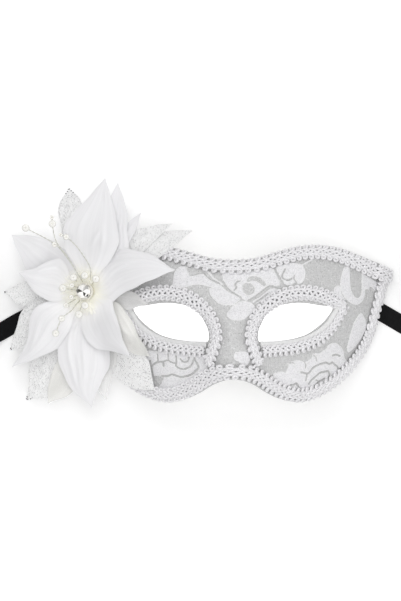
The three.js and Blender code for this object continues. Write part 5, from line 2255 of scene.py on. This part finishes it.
LEAVES = (
    Leaf("satin_petal_top", PetalKind.SATIN, 80, 65, 5, 6, 2, 2,
         (9, 15, 17.5, 17.4, 13.5, 8.7, 4.6), (8.2, 12.3, 14.2, 13.1, 10.4, 7.2, 3.8), (
             Fold((0.3, 0.0), (0.58, -0.42), 1.3, 0.9), Fold((0.3, -0.42), (0.58, -0.42), 1.1, 0.9),
             Fold((0.28, 0.5), (0.8, 0.5), 2.6, 0.5), Fold((0.72, -0.5), (0.98, -0.4), 1.2, 0.7),
             Fold((0.05, 0.1), (0.3, 0.1), 1.2, 0.6), Fold((0.05, -0.4), (0.35, -0.5), 1.2, 0.6),
         )),
    Leaf("satin_petal_top_back", PetalKind.SATIN, 73.3, 64.2, 3, 2.6, 1, 1,
         (3, 5, 6, 6, 5, 3.6, 1.9), (7, 13, 16.9, 14.9, 12.4, 9.9, 5.4), (
             Fold((0.2, -0.5), (0.95, -0.5), 1.2, 0.6), Fold((0.3, -0.8), (0.9, -0.75), 0.9, 0.4),
             Fold((0.2, -0.2), (0.95, -0.2), 1.0, 0.5),
         )),
    Leaf("satin_petal_small", PetalKind.SATIN, 54.6, 54.3, 2, 1, 1, 0.6,
         (2.1, 2.6, 3, 3.3, 3.4, 3.2, 2.2), (2.5, 3.4, 4.2, 4.7, 4.9, 3.9, 2.3),
         (Fold((0.3, 0.0), (0.95, 0.1), 1.2, 0.5),)),
    Leaf("satin_petal_right", PetalKind.SATIN, 13.2, 52, 4, 3, 0, 1.5,
         (12.8, 17.6, 18.4, 17.3, 15, 11.7, 6.2), (9.4, 7.4, 5.2, 4.3, 3, 2, 1.1), (
             Fold((0.1, 0.1), (0.6, 0.35), 1.1, 0.6), Fold((0.2, 0.45), (0.95, 0.3), 1.4, 0.7),
             Fold((0.4, 0.75), (0.98, 0.45), 0.9, 0.6), Fold((0.05, -0.3), (0.5, -0.2), 1.3, 0.5),
             Fold((0.5, 0.0), (0.95, 0.0), 1.6, 0.4),
         )),
    Leaf("satin_petal_lower_right", PetalKind.SATIN, -55, 45.1, 5, 4, 0, 1.5,
         (9.6, 8.4, 7, 5.2, 3.6, 2.1, 1), (11, 14, 14.8, 14.5, 13.1, 7.4, 3.1), (
             Fold((0.1, -0.1), (0.6, -0.5), 1.6, 0.35), Fold((0.3, 0.3), (0.9, 0.0), 2.2, 0.35),
         )),
    Leaf("satin_petal_bottom", PetalKind.SATIN, -86.9, 65.8, 3, 3, 0, 1.5,
         (5.8, 9.3, 11.5, 12, 10.7, 6.6, 2.6), (8.7, 14.3, 17.4, 17.5, 15.9, 13, 7.9), (
             Fold((0.12, -0.1), (0.4, 0.3), 1.0, 0.8), Fold((0.12, -0.3), (0.38, -0.42), 1.0, 0.8),
             Fold((0.3, 0.0), (0.85, -0.05), 1.6, 0.7), Fold((0.35, 0.5), (0.9, 0.3), 1.2, 0.5),
             Fold((0.25, -0.6), (0.9, -0.5), 1.3, 0.6), Fold((0.45, -0.25), (0.95, -0.25), 1.1, 0.5),
         )),
    Leaf("satin_petal_lower_left", PetalKind.SATIN, -134.3, 59.9, 4, 4, -3, 1.5,
         (5, 8, 10.1, 10.9, 9.2, 6.5, 3.4), (7.2, 11.7, 14, 11.1, 6.2, 2.5, 1.4), (
             Fold((0.1, 0.0), (0.9, 0.0), 1.6, 0.6), Fold((0.15, 0.5), (0.85, 0.4), 1.2, 0.5),
             Fold((0.15, -0.5), (0.8, -0.4), 1.4, 0.5), Fold((0.05, 0.25), (0.4, 0.2), 1.0, 0.5),
         )),
    Leaf("satin_petal_left", PetalKind.SATIN, 164.5, 39, 5, 4, 3, 2,
         (8, 10, 10.7, 9.7, 7.9, 5.2, 2.5), (7, 12, 14.3, 11.8, 8.7, 5, 3), (
             Fold((0.1, 0.2), (0.9, 0.3), 1.1, 0.6), Fold((0.1, -0.3), (0.85, -0.35), 1.3, 0.6),
             Fold((0.2, -0.7), (0.8, -0.6), 0.9, 0.4),
         )),
    Leaf("satin_petal_left_back", PetalKind.SATIN, 142.5, 52.8, 2, 1.5, 2, 1,
         (5.4, 8.6, 10.7, 11.2, 10.1, 7.1, 4), (8, 12, 12, 11.5, 10.5, 7.9, 4.2), (
             Fold((0.4, -0.5), (0.98, -0.6), 1.6, 0.6), Fold((0.4, 0.1), (0.95, 0.0), 1.8, 0.5),
         )),
    Leaf("glitter_leaf_top", PetalKind.GLITTER, 99.4, 59.2, 0, 1, 0, 0.5,
         (3.5, 5.4, 6.8, 7.7, 8, 8.1, 6.2), (2.9, 4.1, 5.1, 5.7, 6.2, 6.1, 5.4),
         (Fold((0.3, 0.0), (0.95, 0.1), 2.0, 0.5),), 3),
    Leaf("glitter_leaf_right", PetalKind.GLITTER, 29.5, 69.2, 0, 0, 0, 0,
         (5.1, 8.1, 10.2, 10.9, 10.7, 8.5, 4.9), (3, 4, 4.5, 4.5, 4, 3.1, 1.7),
         (Fold((0.3, 0.1), (0.95, 0.1), 2.0, 0.5),), 0),
    Leaf("glitter_leaf_right_back", PetalKind.GLITTER, 37.9, 62, 1, 0, 0, 0,
         (4.2, 6.6, 8.6, 9.9, 10.4, 8.3, 4.8), (2.5, 3, 3, 3, 2.5, 2, 1),
         (Fold((0.3, 0.1), (0.95, 0.1), 2.0, 0.4),)),
    Leaf("glitter_leaf_left", PetalKind.GLITTER, -179.6, 46.4, 0, 0.5, -3, 0.5,
         (3.4, 5.1, 6.5, 7.5, 7.9, 7.8, 4.8), (3.5, 5.2, 6.5, 7.1, 6.7, 5.3, 3.2),
         (Fold((0.3, 0.0), (0.95, 0.0), 2.0, 0.4),), 1),
    Leaf("glitter_leaf_lower_left", PetalKind.GLITTER, -142.7, 54, 1, 0.5, -4, 0.5,
         (3, 4.3, 5.1, 5.5, 6.3, 6.7, 4.5), (7.1, 9.4, 12.6, 14, 12.8, 9, 5),
         (Fold((0.3, -0.2), (0.95, -0.2), 2.0, 0.5),), 1),
    Leaf("glitter_leaf_bottom", PetalKind.GLITTER, -118.9, 70.2, 0, 0.5, -4, 0.5,
         (5.7, 9.4, 12.2, 13.7, 14, 14.4, 12.1), (4.6, 7.2, 8.7, 9.1, 9, 7.1, 3.1),
         (Fold((0.3, -0.2), (0.95, -0.3), 2.2, 0.6), Fold((0.4, 0.4), (0.95, 0.4), 1.8, 0.5)), 2),
    Leaf("sheer_petal_bottom_left", PetalKind.CREAM, -108.8, 67, 1, 0.5, -3, 0.5,
         (5.1, 8.4, 11, 12.8, 13.4, 12.7, 9.3), (2.5, 3, 3, 3, 2.8, 3.5, 2.6),
         (Fold((0.3, 0.1), (0.95, 0.1), 1.6, 0.5),)),
    Leaf("sheer_petal_right", PetalKind.SHEER, -10.7, 36.6, 0, 0, 0, 0,
         (3.6, 4.9, 5, 5, 4.7, 3.9, 1.7), (3.4, 4.5, 5.1, 5.9, 5.7, 4.1, 2.1),
         (Fold((0.3, 0.3), (0.95, 0.3), 1.0, 0.4),)),
    Leaf("sheer_petal_cheek", PetalKind.CREAM, -44.9, 51.5, 1, 1, 0, 0,
         (6, 8.4, 8.4, 7.2, 5.4, 3.5, 2.1), (2.4, 3.6, 5, 6.5, 7.5, 6.3, 4.2),
         (Fold((0.3, 0.0), (0.95, 0.1), 1.6, 0.5), Fold((0.3, 0.5), (0.9, 0.5), 1.0, 0.4))),
    Leaf("sheer_petal_lower_cheek", PetalKind.SPARSE, -54.7, 68.1, 0, 0, 0, 0,
         (3.9, 5.9, 7.3, 7.7, 7.4, 6.5, 3.5), (5.6, 9, 11.1, 12.2, 14.8, 13.4, 9.4),
         (Fold((0.3, -0.2), (0.95, -0.3), 1.8, 0.5),)),
    Leaf("sheer_petal_bottom", PetalKind.SHEER, -79.3, 62.8, 1, 0.5, -1, 0.5,
         (3.6, 6.6, 9.4, 11, 9.8, 6.2, 2.8), (2.3, 3, 3.4, 3.5, 3.7, 3.9, 3.8), (
             Fold((0.3, 0.2), (0.98, 0.2), 0.9, 0.6), Fold((0.3, 0.5), (0.9, 0.5), 0.9, 0.6),
             Fold((0.3, 0.8), (0.85, 0.8), 0.8, 0.5), Fold((0.3, -0.2), (0.98, -0.1), 0.9, 0.5),
         )),
)

SPRIGS = (
    Sprig("sprig_long",
          ((-1, 5.2, 22.6), (-3.1, 8.6, 26.4), (-9, 18, 30), (-15.6, 25.8, 31.5), (-33, 35.6, 29)),
          ((-33, 35.6, 29, 2.2), (-16.6, 26.2, 31.4, 1.6))),
    Sprig("sprig_upright",
          ((-1, 5.2, 24.6), (-3.1, 8.6, 28.6), (-9, 19, 33), (-15.6, 28, 34), (-17.8, 37.8, 33),
           (-18, 41.4, 33)),
          ((-17.8, 37.8, 33, 2.1), (-18, 41.4, 33, 1.3))),
    Sprig("sprig_inner",
          ((2.6, 5.2, 24), (3.2, 8.5, 27.5), (3.4, 12.6, 30), (-3.6, 24.4, 35), (-10, 30.4, 36),
           (-13, 31.6, 35.7)),
          ((-10, 30.4, 36, 1.7), (-13, 31.6, 35.7, 1.2))),
    Sprig("sprig_lower",
          ((-2.4, -4.8, 23.4), (-4.4, -6.8, 26), (-7.2, -10.6, 28), (-12.6, -15, 29.4), (-16.2, -23.5, 29)),
          ((-12.8, -15.2, 29.3, 1.9), (-16.2, -23.5, 29, 2))),
)

STAMENS = (
    (-6.2, 7.8, 2.2), (0, 8.9, 2.2), (6.2, 7, 2.2), (-12.2, 1.8, 2.2), (-7, 3.4, 1.5), (-7.4, -3.2, 1.5),
    (-10.4, -7.8, 1.5), (0.2, -7.8, 2.2), (-3.2, -12.8, 2.2),
)

TIES = (
    RibbonTie("right", 1, (83.3, 8), (-0.93, 0.36), (
        (82.6, 8.4, 0), (86.5, 6.2, 0), (91, 3.6, 0), (97, 0.1, 0), (102.5, -3.1, 0.15),
        (108, -6.3, 0.5), (113.5, -9.4, 0.85), (119.5, -12.9, 1),
    )),
    RibbonTie("left", -1, (-84.3, 10.1), (0.995, 0.1), (
        (-83.6, 10.1, 0), (-89, 10.1, 0), (-96, 9.7, 0), (-104, 8.6, 0), (-113, 6, 0),
        (-121.3, 2.2, 0), (-130, -2.8, 0), (-135.8, -6.1, 0.15), (-141.3, -9.3, 0.5),
        (-146.8, -12.5, 0.85), (-152.8, -16, 1),
    )),
)


def main() -> None:
    """Builds the camera, the ties, the mask, its trimmings, the flower and the studio."""
    logging.basicConfig(level=logging.INFO, format="%(name)s: %(message)s")
    wardrobe = Wardrobe()
    Assembly.workshop = Workshop(wardrobe)
    studio = Studio()
    studio.camera()
    flower = FabricFlower(LEAVES)
    parts = (*TIES, LaceCover(LACE_MOTIFS), RimBinding(), *BRAIDS, flower, FlowerHeart(flower),
             PearlWork(flower, SPRIGS, STAMENS))
    for part in parts:
        part.build()
    studio.build(wardrobe)
    sizes = {name: [list(corner) for corner in box] for name, box in (("cad", CAD_BOX), ("visual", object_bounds()))}
    LOG.info("sizes: %s", sizes)


if __name__ == "__main__":
    main()
